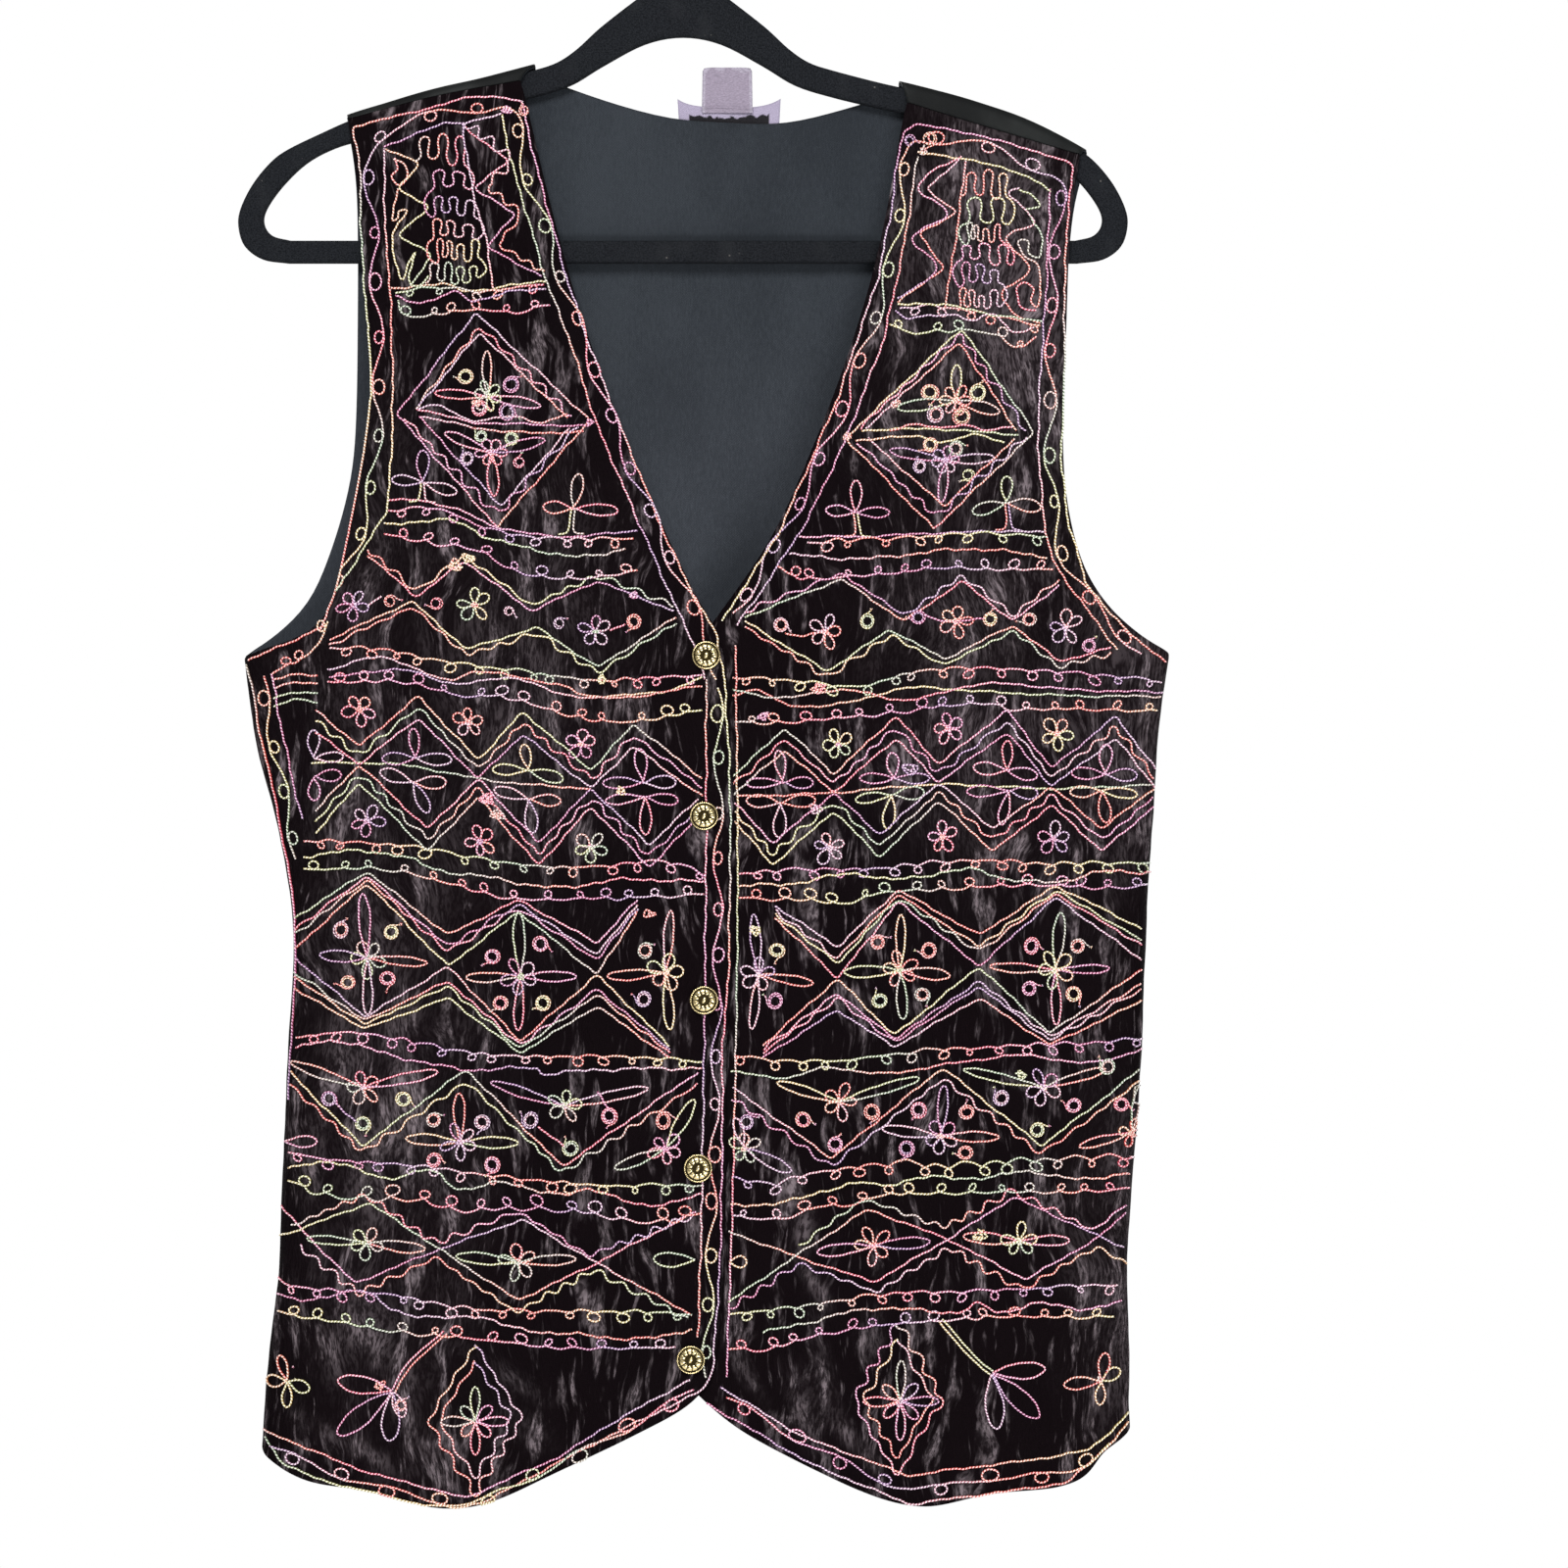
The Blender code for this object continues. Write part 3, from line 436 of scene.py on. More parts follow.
def press(mesh, relief):
    """Moves each point out along its normal by the relief at its place."""
    points, facing = places(mesh)
    points += facing * relief(points)[:, None]
    mesh.vertices.foreach_set("co", (points * MM).ravel())
    mesh.update()
    mesh.shade_smooth()


def puckered(points, grain, depth, seed):
    """Soft uneven puckers of a cloth."""
    scale = np.array([1.0 / grain, 1.0 / grain, 0.55 / grain])
    shifted = points * scale + seed
    return depth * np.array([noise.noise(Vector(p)) for p in shifted])


# Creases: across and height of both ends, half width and how far it stands out.
FRONT_CREASES = (
    (-176, -404, -150, -380, 6, -0.9),
    (-176, -410, -196, -440, 8, 0.8),
    (-120, -170, -128, -250, 9, 0.7),
    (-96, -255, -84, -350, 8, -0.6),
    (-60, -300, -40, -395, 9, 0.8),
    (-150, -300, -120, -400, 9, 0.8),
    (-90, -390, -74, -470, 8, -0.7),
    (-40, -430, -52, -540, 10, 0.8),
    (-120, -520, -134, -640, 11, 0.9),
    (-170, -560, -176, -700, 9, -0.8),
    (-30, -600, -40, -720, 10, -0.7),
    (-100, -690, -92, -800, 11, 1.0),
    (-160, -740, -150, -830, 10, -0.9),
    (-60, -760, -110, -840, 9, 0.9),
    (-30, -770, -20, -806, 8, -0.7),
    (130, -190, 122, -290, 9, 0.7),
    (160, -240, 168, -350, 9, -0.7),
    (70, -330, 50, -400, 8, 0.7),
    (196, -400, 214, -440, 8, -0.8),
    (190, -440, 200, -560, 10, 0.9),
    (110, -430, 118, -540, 10, -0.7),
    (60, -470, 54, -590, 10, 0.8),
    (150, -560, 160, -680, 10, 0.8),
    (90, -620, 84, -740, 10, -0.8),
    (206, -640, 214, -780, 9, 0.9),
    (48, -740, 66, -826, 9, 0.9),
    (140, -720, 134, -840, 11, 0.9),
    (180, -760, 176, -838, 9, -0.8),
)
LINING_CREASES = (
    (27, -190, 25, -420, 0.9, -1.1),
    (29.5, -190, 27.5, -420, 1.2, 0.7),
    (75, -170, 82, -420, 4, 0.6),
    (-30, -180, -10, -340, 6, 0.5),
)
BACK_CREASES = (
    (12, -170, 12, -786, 1.1, -0.7),
    (-70, -480, -64, -700, 1.2, -0.6),
    (96, -480, 88, -700, 1.2, -0.6),
    (-120, -200, -150, -420, 12, 0.9),
    (150, -200, 176, -420, 12, 0.9),
    (-20, -300, -36, -560, 14, 0.8),
    (60, -340, 66, -640, 14, -0.8),
)


def creased(points, creases):
    """How far the creases stand out at each point."""
    total = np.zeros(len(points))
    flat = points[:, [0, 2]]
    for x0, z0, x1, z1, half_width, stand in creases:
        run = np.array([x1 - x0, z1 - z0], float)
        length = np.hypot(*run)
        run /= length
        off = flat - (x0, z0)
        along = off @ run / length
        aside = off @ np.array([-run[1], run[0]])
        fade = smooth_step((along + 0.12) / 0.35) * smooth_step((1.12 - along) / 0.35)
        total += stand * bump(aside, half_width) * fade
    return total


# Patches of painted sheen, where the pile stands up: across, height, half width, half height, slant, how
# much.
PAINTED_SHEEN_PATCHES = (
    (153, -248, 45, 110, 0.0, 1.0),
    (-77, -439, 33, 75, 0.0, 0.8),
    (143, -453, 40, 60, 0.0, 0.7),
    (222, -458, 25, 75, 0.0, 1.0),
    (222, -733, 22, 65, 0.0, 1.1),
    (-150, -640, 36, 150, 0.0, 0.8),
    (-165, -375, 30, 60, 0.0, 0.5),
    (31, -782, 3, 13, -0.55, 1.9),
    (71, -788, 4, 19, -0.24, 1.8),
    (83, -815, 4, 13, -0.77, 1.8),
    (60, -799, 5, 14, -0.27, 1.9),
    (60, -714, 3.5, 10, 0.1, 1.5),
    (66, -740, 3.5, 9, -0.5, 1.5),
    (93, -765, 5, 10, 0.0, 1.3),
    (-174, -772, 4, 12, -0.4, 1.6),
    (-157, -768, 7, 16, -0.5, 1.7),
    (-139, -780, 6, 12, -0.6, 1.7),
    (-133, -812, 5, 18, -0.26, 1.8),
    (-121, -835, 4, 8, -1.1, 1.6),
    (-79, -790, 5, 7, -1.0, 1.5),
    (-76, -812, 8, 8, -0.6, 1.6),
)
# A band of painted sheen that runs across: its middle, half width, half height, fall and how much.
HEM_SHEEN_BAND = (-164, -820, 20, 4, -0.48, 1.7)


def mark_painted_sheen(mesh):
    """Keeps on each point how much painted sheen the raised pile adds there."""
    points = places(mesh)[0]
    total = np.zeros(len(points))
    for x, z, wide, tall, slant, amount in PAINTED_SHEEN_PATCHES:
        down = points[:, 2] - z
        total += amount * bump(points[:, 0] - x - slant * down, wide) * bump(down, tall)
    x, z, wide, tall, fall, amount = HEM_SHEEN_BAND
    across = points[:, 0] - x
    total += amount * bump(across, wide) * bump(points[:, 2] - z - fall * across, tall)
    mesh.attributes.new("painted_sheen_patch", "FLOAT", "POINT").data.foreach_set("value", total)


def front_relief(points):
    """A front's creases and puckers, nearly flat where it is closed."""
    under_placket = bump(points[:, 0] - 12, 26) * (points[:, 2] < -395)
    total = creased(points, FRONT_CREASES) + puckered(points, 16.0, 0.5, 3.0)
    total += puckered(points, 6.0, 0.22, 9.0)
    return total * (1 - 0.8 * under_placket)


def neck_raised(mesh):
    """Lifts the middle of the back neck edge to the height that the labels hide."""
    points = places(mesh)[0]
    points[:, 2] += 3.6 * bump(points[:, 0] - 24, 24) * smooth_step((points[:, 2] + 200) / 32)
    mesh.vertices.foreach_set("co", (points * MM).ravel())


def lining_relief(points):
    """The lining's pleat and its soft folds."""
    return creased(points, LINING_CREASES) + puckered(points, 40.0, 0.5, 5.0)


def back_relief(points):
    """The outer back's folds, with the shoulders brought forward left flat."""
    ahead = points[:, 1] > 2
    return np.where(ahead, creased(points, BACK_CREASES), 0) + puckered(points, 30.0, 0.5, 7.0)


def thickness(piece, amount):
    """Gives a sheet its wall, inwards from the side that is seen."""
    wall = piece.modifiers.new("wall", "SOLIDIFY")
    wall.thickness = amount * MM
    wall.offset = -1
    wall.use_even_offset = True


SHEETS = (
    # name, CAD node, where its seen side is looked at from and which way, levels, relief, material
    ("velvet_front_right", "front_right", (-100, -200, -450), (0, 1, 0), 3, front_relief, velvet),
    ("velvet_front_left", "front_left", (120, -200, -450), (0, 1, 0), 3, front_relief, velvet),
    ("satin_back", "back", (0, 200, -450), (0, -1, 0), 2, back_relief, back_cloth),
    ("weave_lining", "back_lining", (0, 0, -450), (0, 1, 0), 2, lining_relief, lining),
)
CUTS = {
    # slot, wall in mm, cut width, cut length and cut area in metres
    "velvet_front_right": ("velvet", 1.2, 0.262, 0.715, 0.132),
    "velvet_front_left": ("velvet", 1.2, 0.262, 0.705, 0.132),
    "satin_back": ("back_cloth", 0.6, 0.500, 0.700, 0.263),
    "weave_lining": ("lining_cloth", 0.5, 0.500, 0.700, 0.262),
}


def make_cloth():
    """Each CAD wall's seen side as a thin creased sheet. Gives the sheets by name."""
    weave_group()
    made = {}
    looks = {}
    for name, node, eye, look, levels, relief, finish_of in SHEETS:
        slot, wall, width, length, area = CUTS[name]
        mesh = finer(one_side(node, eye, look), levels)
        if node.startswith("back"):
            neck_raised(mesh)
        press(mesh, relief)
        if node.startswith("front"):
            # Marks where painted sheen lies on each velvet front.
            mark_painted_sheen(mesh)
        mesh.name = name
        if finish_of not in looks:
            looks[finish_of] = finish_of()
        piece = add_piece(name, mesh, looks[finish_of], slot, node)
        thickness(piece, wall)
        made[name] = piece
    return made


# Needlework.


def evened(points, step=THREAD_STEP):
    """The same line, its points an even step apart."""
    points = np.asarray(points, float)
    along = np.concatenate([[0.0], np.cumsum(np.hypot(*np.diff(points, axis=0).T))])
    count = max(3, int(round(along[-1] / step)) + 1)
    at = np.linspace(0, along[-1], count)
    return np.stack([np.interp(at, along, points[:, k]) for k in (0, 1)], axis=1)


def flowing(points, steps=12):
    """A soft line through the points."""
    points = np.asarray(points, float)
    ends = np.vstack([2 * points[0] - points[1], points, 2 * points[-1] - points[-2]])
    t = np.linspace(0, 1, steps, endpoint=False)[:, None]
    parts = []
    for a, b, c, d in zip(ends, ends[1:], ends[2:], ends[3:]):
        cubic = (2 * b) + (c - a) * t + (2 * a - 5 * b + 4 * c - d) * t**2 + (3 * b - a - 3 * c + d) * t**3
        parts.append(cubic / 2)
    return np.vstack(parts + [points[-1:]])


def eased(points, reach=2.4):
    """A line with straight runs, whose corners are turned by hand."""
    points = np.asarray(points, float)
    out = [points[:1]]
    t = np.linspace(0, 1, 5)[:, None]
    for before, corner, after in zip(points, points[1:], points[2:]):
        start = corner + (before - corner) * min(0.4, reach / np.hypot(*(before - corner)))
        end = corner + (after - corner) * min(0.4, reach / np.hypot(*(after - corner)))
        out.append((1 - t) ** 2 * start + 2 * t * (1 - t) * corner + t**2 * end)
    return np.vstack(out + [points[-1:]])


def leftwards(points):
    """Unit steps to the left of the line at each of its points."""
    run = np.gradient(points, axis=0)
    run /= np.maximum(np.hypot(run[:, 0], run[:, 1]), 1e-9)[:, None]
    return np.stack([-run[:, 1], run[:, 0]], axis=1)


def turned(out, aside, degrees):
    """Points given along and across a heading, turned to it."""
    angle = math.radians(degrees)
    along = np.array([math.cos(angle), math.sin(angle)])
    across = np.array([-math.sin(angle), math.cos(angle)])
    return np.outer(out, along) + np.outer(aside, across)


def ringlet(foot, ahead, up, wide, tall, count):
    """A small loop that leaves its foot and comes back to it."""
    angle = np.linspace(0, FULL_TURN, count)[1:]
    return foot + np.outer(np.sin(angle), ahead) * wide + np.outer(1 - np.cos(angle), up) * tall


class Needlework:
    """The threads of one front, charted flat in millimetres as the front is seen."""

    def __init__(self, seed):
        self.dice = np.random.default_rng(seed)
        self.threads = []

    def between(self, low, high):
        """A random value, the next of this front's."""
        return self.dice.uniform(low, high)

    def any_angle(self):
        """Where in its round something starts, in radians."""
        return self.between(0, 6.3)

    def lay(self, points, shake=0.22, fine=1.0):
        """Lays one thread, a little uneven as by hand, and finer where it is wound tight."""
        line = evened(points)
        along = np.arange(len(line)) * THREAD_STEP
        drift = np.zeros(len(line))
        for length, part in ((34.0, 1.0), (15.0, 0.8), (7.0, 0.5)):
            drift += part * np.sin(along / length * FULL_TURN + self.any_angle())
        line = line + leftwards(line) * (shake * drift)[:, None]
        shade = self.between(0, COLOUR_RUN)
        self.threads.append((line, shade, self.between(0, THREAD_LIFT), fine))

    def plain(self, points):
        """A line with straight runs."""
        self.lay(eased(points), 0.28)

    def soft(self, points, shake=0.3):
        """A line with no corners."""
        self.lay(flowing(points), shake)

    def wavy(self, points, swing=0.85, length=12.5):
        """A line that waves a little to both sides."""
        line = evened(eased(points), WAVE_STEP)
        along = np.arange(len(line)) * WAVE_STEP
        slow = np.sin(along / 23.0 + self.any_angle())
        quick = np.sin(along / 9.1 + self.any_angle())
        phase = along / length * FULL_TURN + 1.3 * slow + 0.6 * quick + self.any_angle()
        self.lay(line + leftwards(line) * (swing * (1 + 0.5 * slow) * np.sin(phase))[:, None], 0.2)

    def faint(self, points):
        """A line that hardly waves."""
        self.wavy(points, 0.55, 15.0)

    def curls(self, points, side, pitch=13.5, radius=1.95, sway=1.3):
        """A line with small loops on one side, bowed a little between them."""
        line = evened(flowing(points), LOOP_STEP)
        left = leftwards(line)
        total = len(line) * LOOP_STEP
        count = max(1, int(total / pitch))
        gaps = total / count
        at = [(k + 0.5 + self.between(-0.24, 0.24)) * gaps for k in range(count)]
        out = []
        begin = 0
        for index, place in enumerate(at + [total]):
            end = min(len(line) - 1, int(place / LOOP_STEP))
            part = line[begin : end + 1]
            share = np.linspace(0, 1, len(part))
            if 0 < index < len(at):
                bow = side * sway * self.between(0.4, 1.4)
                part = part - left[begin : end + 1] * (bow * np.sin(math.pi * share))[:, None]
            out.append(part)
            if index < len(at):
                size = radius * self.between(0.72, 1.2)
                ahead = line[min(end + 1, len(line) - 1)] - line[end - 1]
                ahead /= max(np.hypot(*ahead), 1e-9)
                up = left[end] * side + ahead * self.between(-0.45, 0.45)
                wide = size * self.between(0.9, 1.4)
                out.append(ringlet(line[end], ahead, up, wide, size, 15))
            begin = end
        self.lay(np.vstack(out), 0.2)

    def scroll(self, points, reach=3.0, pitch=25.0, radius=2.65):
        """A line that swings from side to side, with a loop inside each turn."""
        line = evened(flowing(points), WAVE_STEP)
        left = leftwards(line)
        along = np.arange(len(line)) * WAVE_STEP
        count = max(2, int(along[-1] / pitch))
        gap = along[-1] / count
        swing = reach * np.sin(along / gap * math.pi)
        bent = line + left * swing[:, None]
        way = leftwards(bent)
        out = []
        begin = 0
        for k in range(count):
            end = min(len(line) - 1, int((k + 0.5 + self.between(-0.08, 0.08)) * gap / WAVE_STEP))
            side = -1 if k % 2 == 0 else 1
            out.append(bent[begin : end + 1])
            size = radius * self.between(0.8, 1.15)
            ahead = np.array([way[end][1], -way[end][0]])
            out.append(ringlet(bent[end], ahead, way[end] * side, size * self.between(1.25, 1.55), size, 16))
            begin = end
        out.append(bent[begin:])
        self.lay(np.vstack(out), 0.15)

    def petals(self, centre, shapes):
        """One thread out to each petal's tip and back: heading, length, width."""
        out = []
        for heading, length, width in shapes:
            t = np.linspace(0, 1, max(11, int(2.6 * length / THREAD_STEP)))
            reach = (1 - np.cos(FULL_TURN * t)) / 2
            aside = width * 0.72 * np.sin(FULL_TURN * t) * reach**0.55 * (1 - 0.3 * reach**3)
            out.append(turned(0.6 + (length - 0.6) * reach, aside, heading + self.between(-2, 2)))
        self.lay(np.vstack(out) + np.asarray(centre, float), 0.14)

    def flower(self, centre, size=8.0, count=5):
        """A small round-petalled flower with a knotted middle."""
        start = self.between(0, 360)
        shapes = []
        for k in range(count):
            heading = start + k * 360 / count + self.between(-12, 12)
            shapes.append((heading, size * self.between(0.85, 1.15), size * self.between(0.46, 0.66)))
        self.petals(centre, shapes)
        self.tangle(centre, 2.4, 8)

    def flowers(self, spots, size):
        """A flower at each spot."""
        for spot in spots:
            self.flower(spot, size)

    def knot(self, place):
        """The small hard knot at a thread's end."""
        self.coil(place, 0.62, 1.6, False)

    def coil(self, centre, radius=3.1, turns=1.7, tail=True):
        """Rings laid one inside the other, and the end let out to a knot."""
        centre = np.asarray(centre, float)
        start = self.any_angle()
        share = np.linspace(0, 1, int(13 * turns))
        angle = start + share * turns * FULL_TURN
        size = radius * (1.0 - 0.42 * share) * (1 + 0.07 * np.sin(angle * 1.6 + start))
        oval = self.between(0.92, 1.14)
        ring = np.stack([np.cos(angle), oval * np.sin(angle)], axis=1) * size[:, None]
        if tail:
            heading = np.array([math.cos(start - 0.35), math.sin(start - 0.35)])
            away = heading * (radius + self.between(1.0, 2.2))
            ring = np.vstack([[away], ring])
            self.knot(centre + away * 1.12)
        self.lay(ring + centre, 0.05, WOUND_TIGHT)

    def coils(self, spots, radius, turns):
        """A coil at each spot."""
        for spot in spots:
            self.coil(spot, radius, turns)

    def tangle(self, centre, reach=4.0, count=9):
        """A lump of small loops where a thread was made fast."""
        angle = np.cumsum(self.dice.uniform(1.6, 2.8, count)) + self.any_angle()
        size = reach * self.dice.uniform(0.25, 1.0, count)
        steps = np.stack([np.cos(angle) * size, 0.8 * np.sin(angle) * size], axis=1)
        self.lay(flowing(steps + np.asarray(centre, float)), 0.0)

    def petals_to(self, centre, tips, narrow, wide):
        """One thread out to each of the tips and back."""
        shapes = []
        for tip in tips:
            away = np.asarray(tip, float) - centre
            heading = math.degrees(math.atan2(away[1], away[0]))
            shapes.append((heading, np.hypot(*away), self.between(narrow, wide)))
        self.petals(centre, shapes)

    def star(self, centre, tips, small=5, size=9.2):
        """Long petals out to the given tips, round petals between, a knot in the middle."""
        self.petals_to(centre, tips, 4.2, 5.8)
        self.flower(centre, size, small)

    def sprig(self, centre, tips, foot=None):
        """Petals out to the tips, on a double stem if it has a foot."""
        self.petals_to(centre, tips, 4.8, 6.6)
        if foot is not None:
            for side in (-1, 1):
                stem = [np.add(centre, (0.8 * side, 0)), np.add(foot, (1.2 * side, 4.0))]
                self.soft(stem + [np.add(foot, (2.4 * side, 0.9)), np.add(foot, (6.5 * side, 0.2))], 0.15)

    def zigzag(self, points, sense, rows):
        """Lines side by side along points of across, height and 1 at a tip. Each
        row is a kind of line, how far inside the tips and outside the crossings."""
        for kind, inside, outside in rows:
            line = []
            for x, z, tip in points:
                line.append((x, z - sense * inside if tip else z + sense * outside))
            getattr(self, kind)(line)

    def rows(self, hung, wave, perched):
        """A band of three lines: loops below, a slow wave, loops above."""
        self.curls(hung, -1)
        self.soft(wave, 0.5)
        self.curls(perched, 1)

    def meander(self, table):
        """Rows of round bends on one thread: left, right, foot, top and how many bends."""
        out = []
        for number, (left, right, foot, top, count) in enumerate(table):
            turn = np.linspace(-0.5 * math.pi, (2 * count - 0.5) * math.pi, 14 * count)
            pitch = (right - left) / count
            slow = np.sin(turn / 5.0 + self.any_angle())
            x = left + pitch * (turn + 0.5 * math.pi) / FULL_TURN - 0.15 * pitch * np.sin(2 * turn)
            z = (foot + top) / 2 + (top - foot) / 2 * (1 + 0.2 * slow) * np.sin(turn)
            row = np.stack([x + 1.0 * slow, z + 1.2 * np.sin(turn / 3.1)], axis=1)
            way = 1 if number % 2 else -1
            if number % 2:
                row = row[::-1]
            if number:
                begin = out[-1][-1]
                t = np.linspace(0, 1, 10)[1:-1, None]
                out.append(begin + (row[0] - begin) * t + np.sin(math.pi * t) * np.array([2.8 * way, 0]))
            out.append(row)
        self.lay(np.vstack(out), 0.25)


# Lines side by side: kind, how far inside the tips and outside the crossings.
PLAIN_ROW = (("plain", 0, 0),)
CHAIN_ROWS = (("plain", 0.0, 9.0), ("wavy", 5.5, 4.5), ("plain", 11.0, 0.0))
WIDE_CHAIN_ROWS = (("plain", 0.0, 15.5), ("faint", 2.2, 9.8), ("faint", 4.0, 7.2), ("plain", 5.8, 0.0))
PAIR_ROWS = (("plain", 0.0, 0.0), ("wavy", -2.8, 2.8))


def coil_size(spot):
    """A diamond coil's size: large above its middle, smaller below."""
    return (4.1 if spot[1] > -312 else 3.4) + 0.4 * math.sin(spot[0] * 3.1 + spot[1])


def medallion(work, middle, half_width, half_height, star_centre, reach):
    """A double wavy lozenge round an eight-petalled star."""
    x, z = middle
    for share, swing in ((1.0, 1.2), (0.78, 1.0)):
        wide, tall = half_width * share, half_height * share
        right_side = [(x + wide, z), (x + wide * 0.5, z - tall * 0.45)]
        left_side = [(x - wide * 0.55, z - tall * 0.5), (x - wide, z)]
        work.wavy([(x, z + tall), *right_side, (x, z - tall), *left_side, (x, z + tall)], swing)
    shapes = []
    for k in range(8):
        length = reach if k % 2 == 0 else reach * 0.62
        shapes.append((90 + 45 * k, length * work.between(0.88, 1.05), 4.6))
    work.petals(star_centre, shapes)
    work.coil(star_centre, 1.2, 1.5)


def right_borders(work):
    """The lines and scrolls along the edges."""
    work.plain([
        (-180, -417), (-176, -408), (-166, -368), (-159, -330), (-155, -300), (-157, -262), (-160, -224),
        (-161, -181), (-165, -165), (-139, -159), (-105, -150), (-90, -150), (-80, -153), (-74, -181),
        (-58, -240), (-48, -270), (-32, -312), (-8, -371), (8, -404), (17, -418), (21, -441),
        (23.5, -483), (24, -522), (23, -591), (20, -620), (20, -669), (19, -728), (17, -757), (15, -785),
        (9, -793), (-20, -807), (-63, -829), (-96, -847), (-111, -851), (-130, -849), (-181, -837),
        (-198, -830), (-208, -818),
    ])
    work.soft([
        (-149, -176), (-148, -221), (-146, -240), (-144, -302), (-146, -350), (-152, -366), (-172, -397),
    ])
    work.plain([
        (-90, -159), (-86, -181), (-77, -211), (-68, -242), (-56, -272), (-43, -313), (-22, -362),
    ])
    work.soft([(-22, -362), (-3, -405), (6, -424), (11, -441)])
    work.plain([(12, -441), (12, -530), (11, -620), (10, -700), (8, -766)])
    work.scroll([
        (-176, -404), (-163, -376), (-154, -345), (-151, -300), (-152, -262), (-154, -222), (-156, -185),
        (-150, -168), (-128, -161), (-100, -155), (-85, -158), (-80, -181), (-67, -220), (-56, -252),
        (-44, -286), (-32, -320), (-14, -362), (4, -402), (13, -424), (17, -441),
    ])
    work.scroll([(18, -445), (18, -530), (17, -620), (15, -700), (12, -786)], reach=2.4, pitch=24)
    work.plain([
        (-209, -815), (-199, -817), (-178, -825), (-154, -834), (-129, -840), (-107, -846), (-85, -836),
        (-62, -826), (-52, -820), (-37, -810), (4, -787),
    ])
    work.scroll([
        (-205, -822), (-160, -838), (-130, -845), (-105, -849), (-84, -840), (-34, -815), (6, -792),
    ], 1.6)
    work.soft([
        (-217, -433), (-213, -450), (-211, -464), (-206, -485), (-202, -502), (-200, -517),
        (-196.4, -532), (-194.4, -547), (-193, -561), (-192.8, -590), (-194.6, -620), (-196.4, -650),
    ], 0.15)
    work.soft([(-204, -438), (-200, -460), (-194, -488), (-189, -510)])
    work.scroll([(-208, -439), (-206, -462), (-200, -486), (-196, -506), (-192, -530)], 2.2, 22)
    work.soft([(-216, -431), (-206, -427), (-195, -422.5), (-178, -414)])
    work.curls([(-204, -438), (-197, -434), (-189, -430), (-180, -421), (-176, -412)], 1)
    for z in (-439, -443, -448, -452):
        work.soft([(-203, z - 2), (-192, z + 1), (-181, z)])


def right_shoulder(work):
    """The panel of round bends under the shoulder, and the loop rows below it."""
    work.plain([(-149, -175), (-136, -170), (-118, -163), (-108, -163), (-90, -159)])
    work.plain([(-110, -163), (-105, -196), (-98, -221), (-94, -246)])
    work.plain([
        (-148, -176), (-131, -183), (-142, -196), (-126, -205), (-142, -219), (-125, -229), (-135, -245),
    ])
    work.soft([
        (-144, -181), (-138, -184), (-138, -191), (-142, -194), (-145, -190), (-142, -186), (-144, -181),
    ])
    work.soft([
        (-142, -196), (-145, -211), (-142, -211), (-142, -207), (-137, -207), (-142, -214), (-145, -222),
        (-140, -241), (-137, -236), (-133, -228), (-136, -241), (-131, -245), (-126, -240),
    ])
    work.plain([(-109, -165), (-87, -182), (-104, -196), (-83, -209), (-98, -225), (-70, -240)])
    work.wavy([(-108, -163), (-84, -182), (-98, -194), (-80, -209), (-92, -224), (-69, -238)], 1.7, 9.5)
    work.meander((
        (-132, -108, -183, -170, 3),
        (-127, -105, -197, -187, 2),
        (-125, -102, -210, -200, 3),
        (-127, -102, -221, -212, 3),
        (-124, -101, -232, -222, 4),
        (-128, -100, -243, -234, 4),
    ))
    work.soft([(-145, -246), (-120, -244), (-105, -247), (-68, -242)], 0.4)
    work.curls([(-143, -248), (-120, -246), (-100, -248), (-69, -244)], -1)
    work.soft([(-143, -250), (-129, -253), (-113, -248), (-104, -252), (-87, -248), (-68, -246)], 0.4)
    work.curls([(-142, -252), (-138, -259), (-121, -258), (-105, -256), (-86, -257), (-66, -254)], 1)
    work.tangle((-88, -157), 3.5)
    work.coil((-79, -157), 2.6)


def right_diamond(work):
    """The large diamond, with a sprig at each side of its foot."""
    work.plain([(-92, -365), (-142, -309), (-103, -258), (-46, -312), (-92, -365)])
    work.wavy([(-138, -311), (-92, -359), (-52, -315)], 1.2)
    work.wavy([(-133, -306), (-101, -265), (-55, -310)], 1.2)
    work.plain([(-131, -305), (-101, -268), (-57, -311)])
    work.plain([(-131, -310), (-90, -355), (-56, -316)])
    work.plain([(-132, -306), (-105, -313), (-47, -315)])
    work.soft([(-132, -306), (-120, -305), (-104, -312), (-84, -310), (-70, -313), (-57, -309)])
    work.soft([(-130, -310), (-100, -316), (-81, -318), (-49, -318)])
    work.star((-97, -300), ((-98, -277), (-123, -299), (-70, -304)), 6, 7.5)
    work.star((-95, -328), ((-94, -350), (-118, -318), (-68, -322)), 6, 7.5)
    for spot in (
        (-108, -290), (-85, -294), (-101, -306), (-87, -308), (-100, -320), (-85, -321), (-107, -331),
    ):
        work.coil(spot, coil_size(spot), 3.2)
    work.coil((-81, -333), 3.0)
    work.tangle((-102, -304), 4)
    work.tangle((-46, -313), 3)
    work.sprig((-129, -343), ((-129, -327), (-144, -342), (-112, -348)), (-129, -353))
    work.sprig((-54, -356), ((-51, -339), (-69, -355), (-32, -357)), (-55, -369))


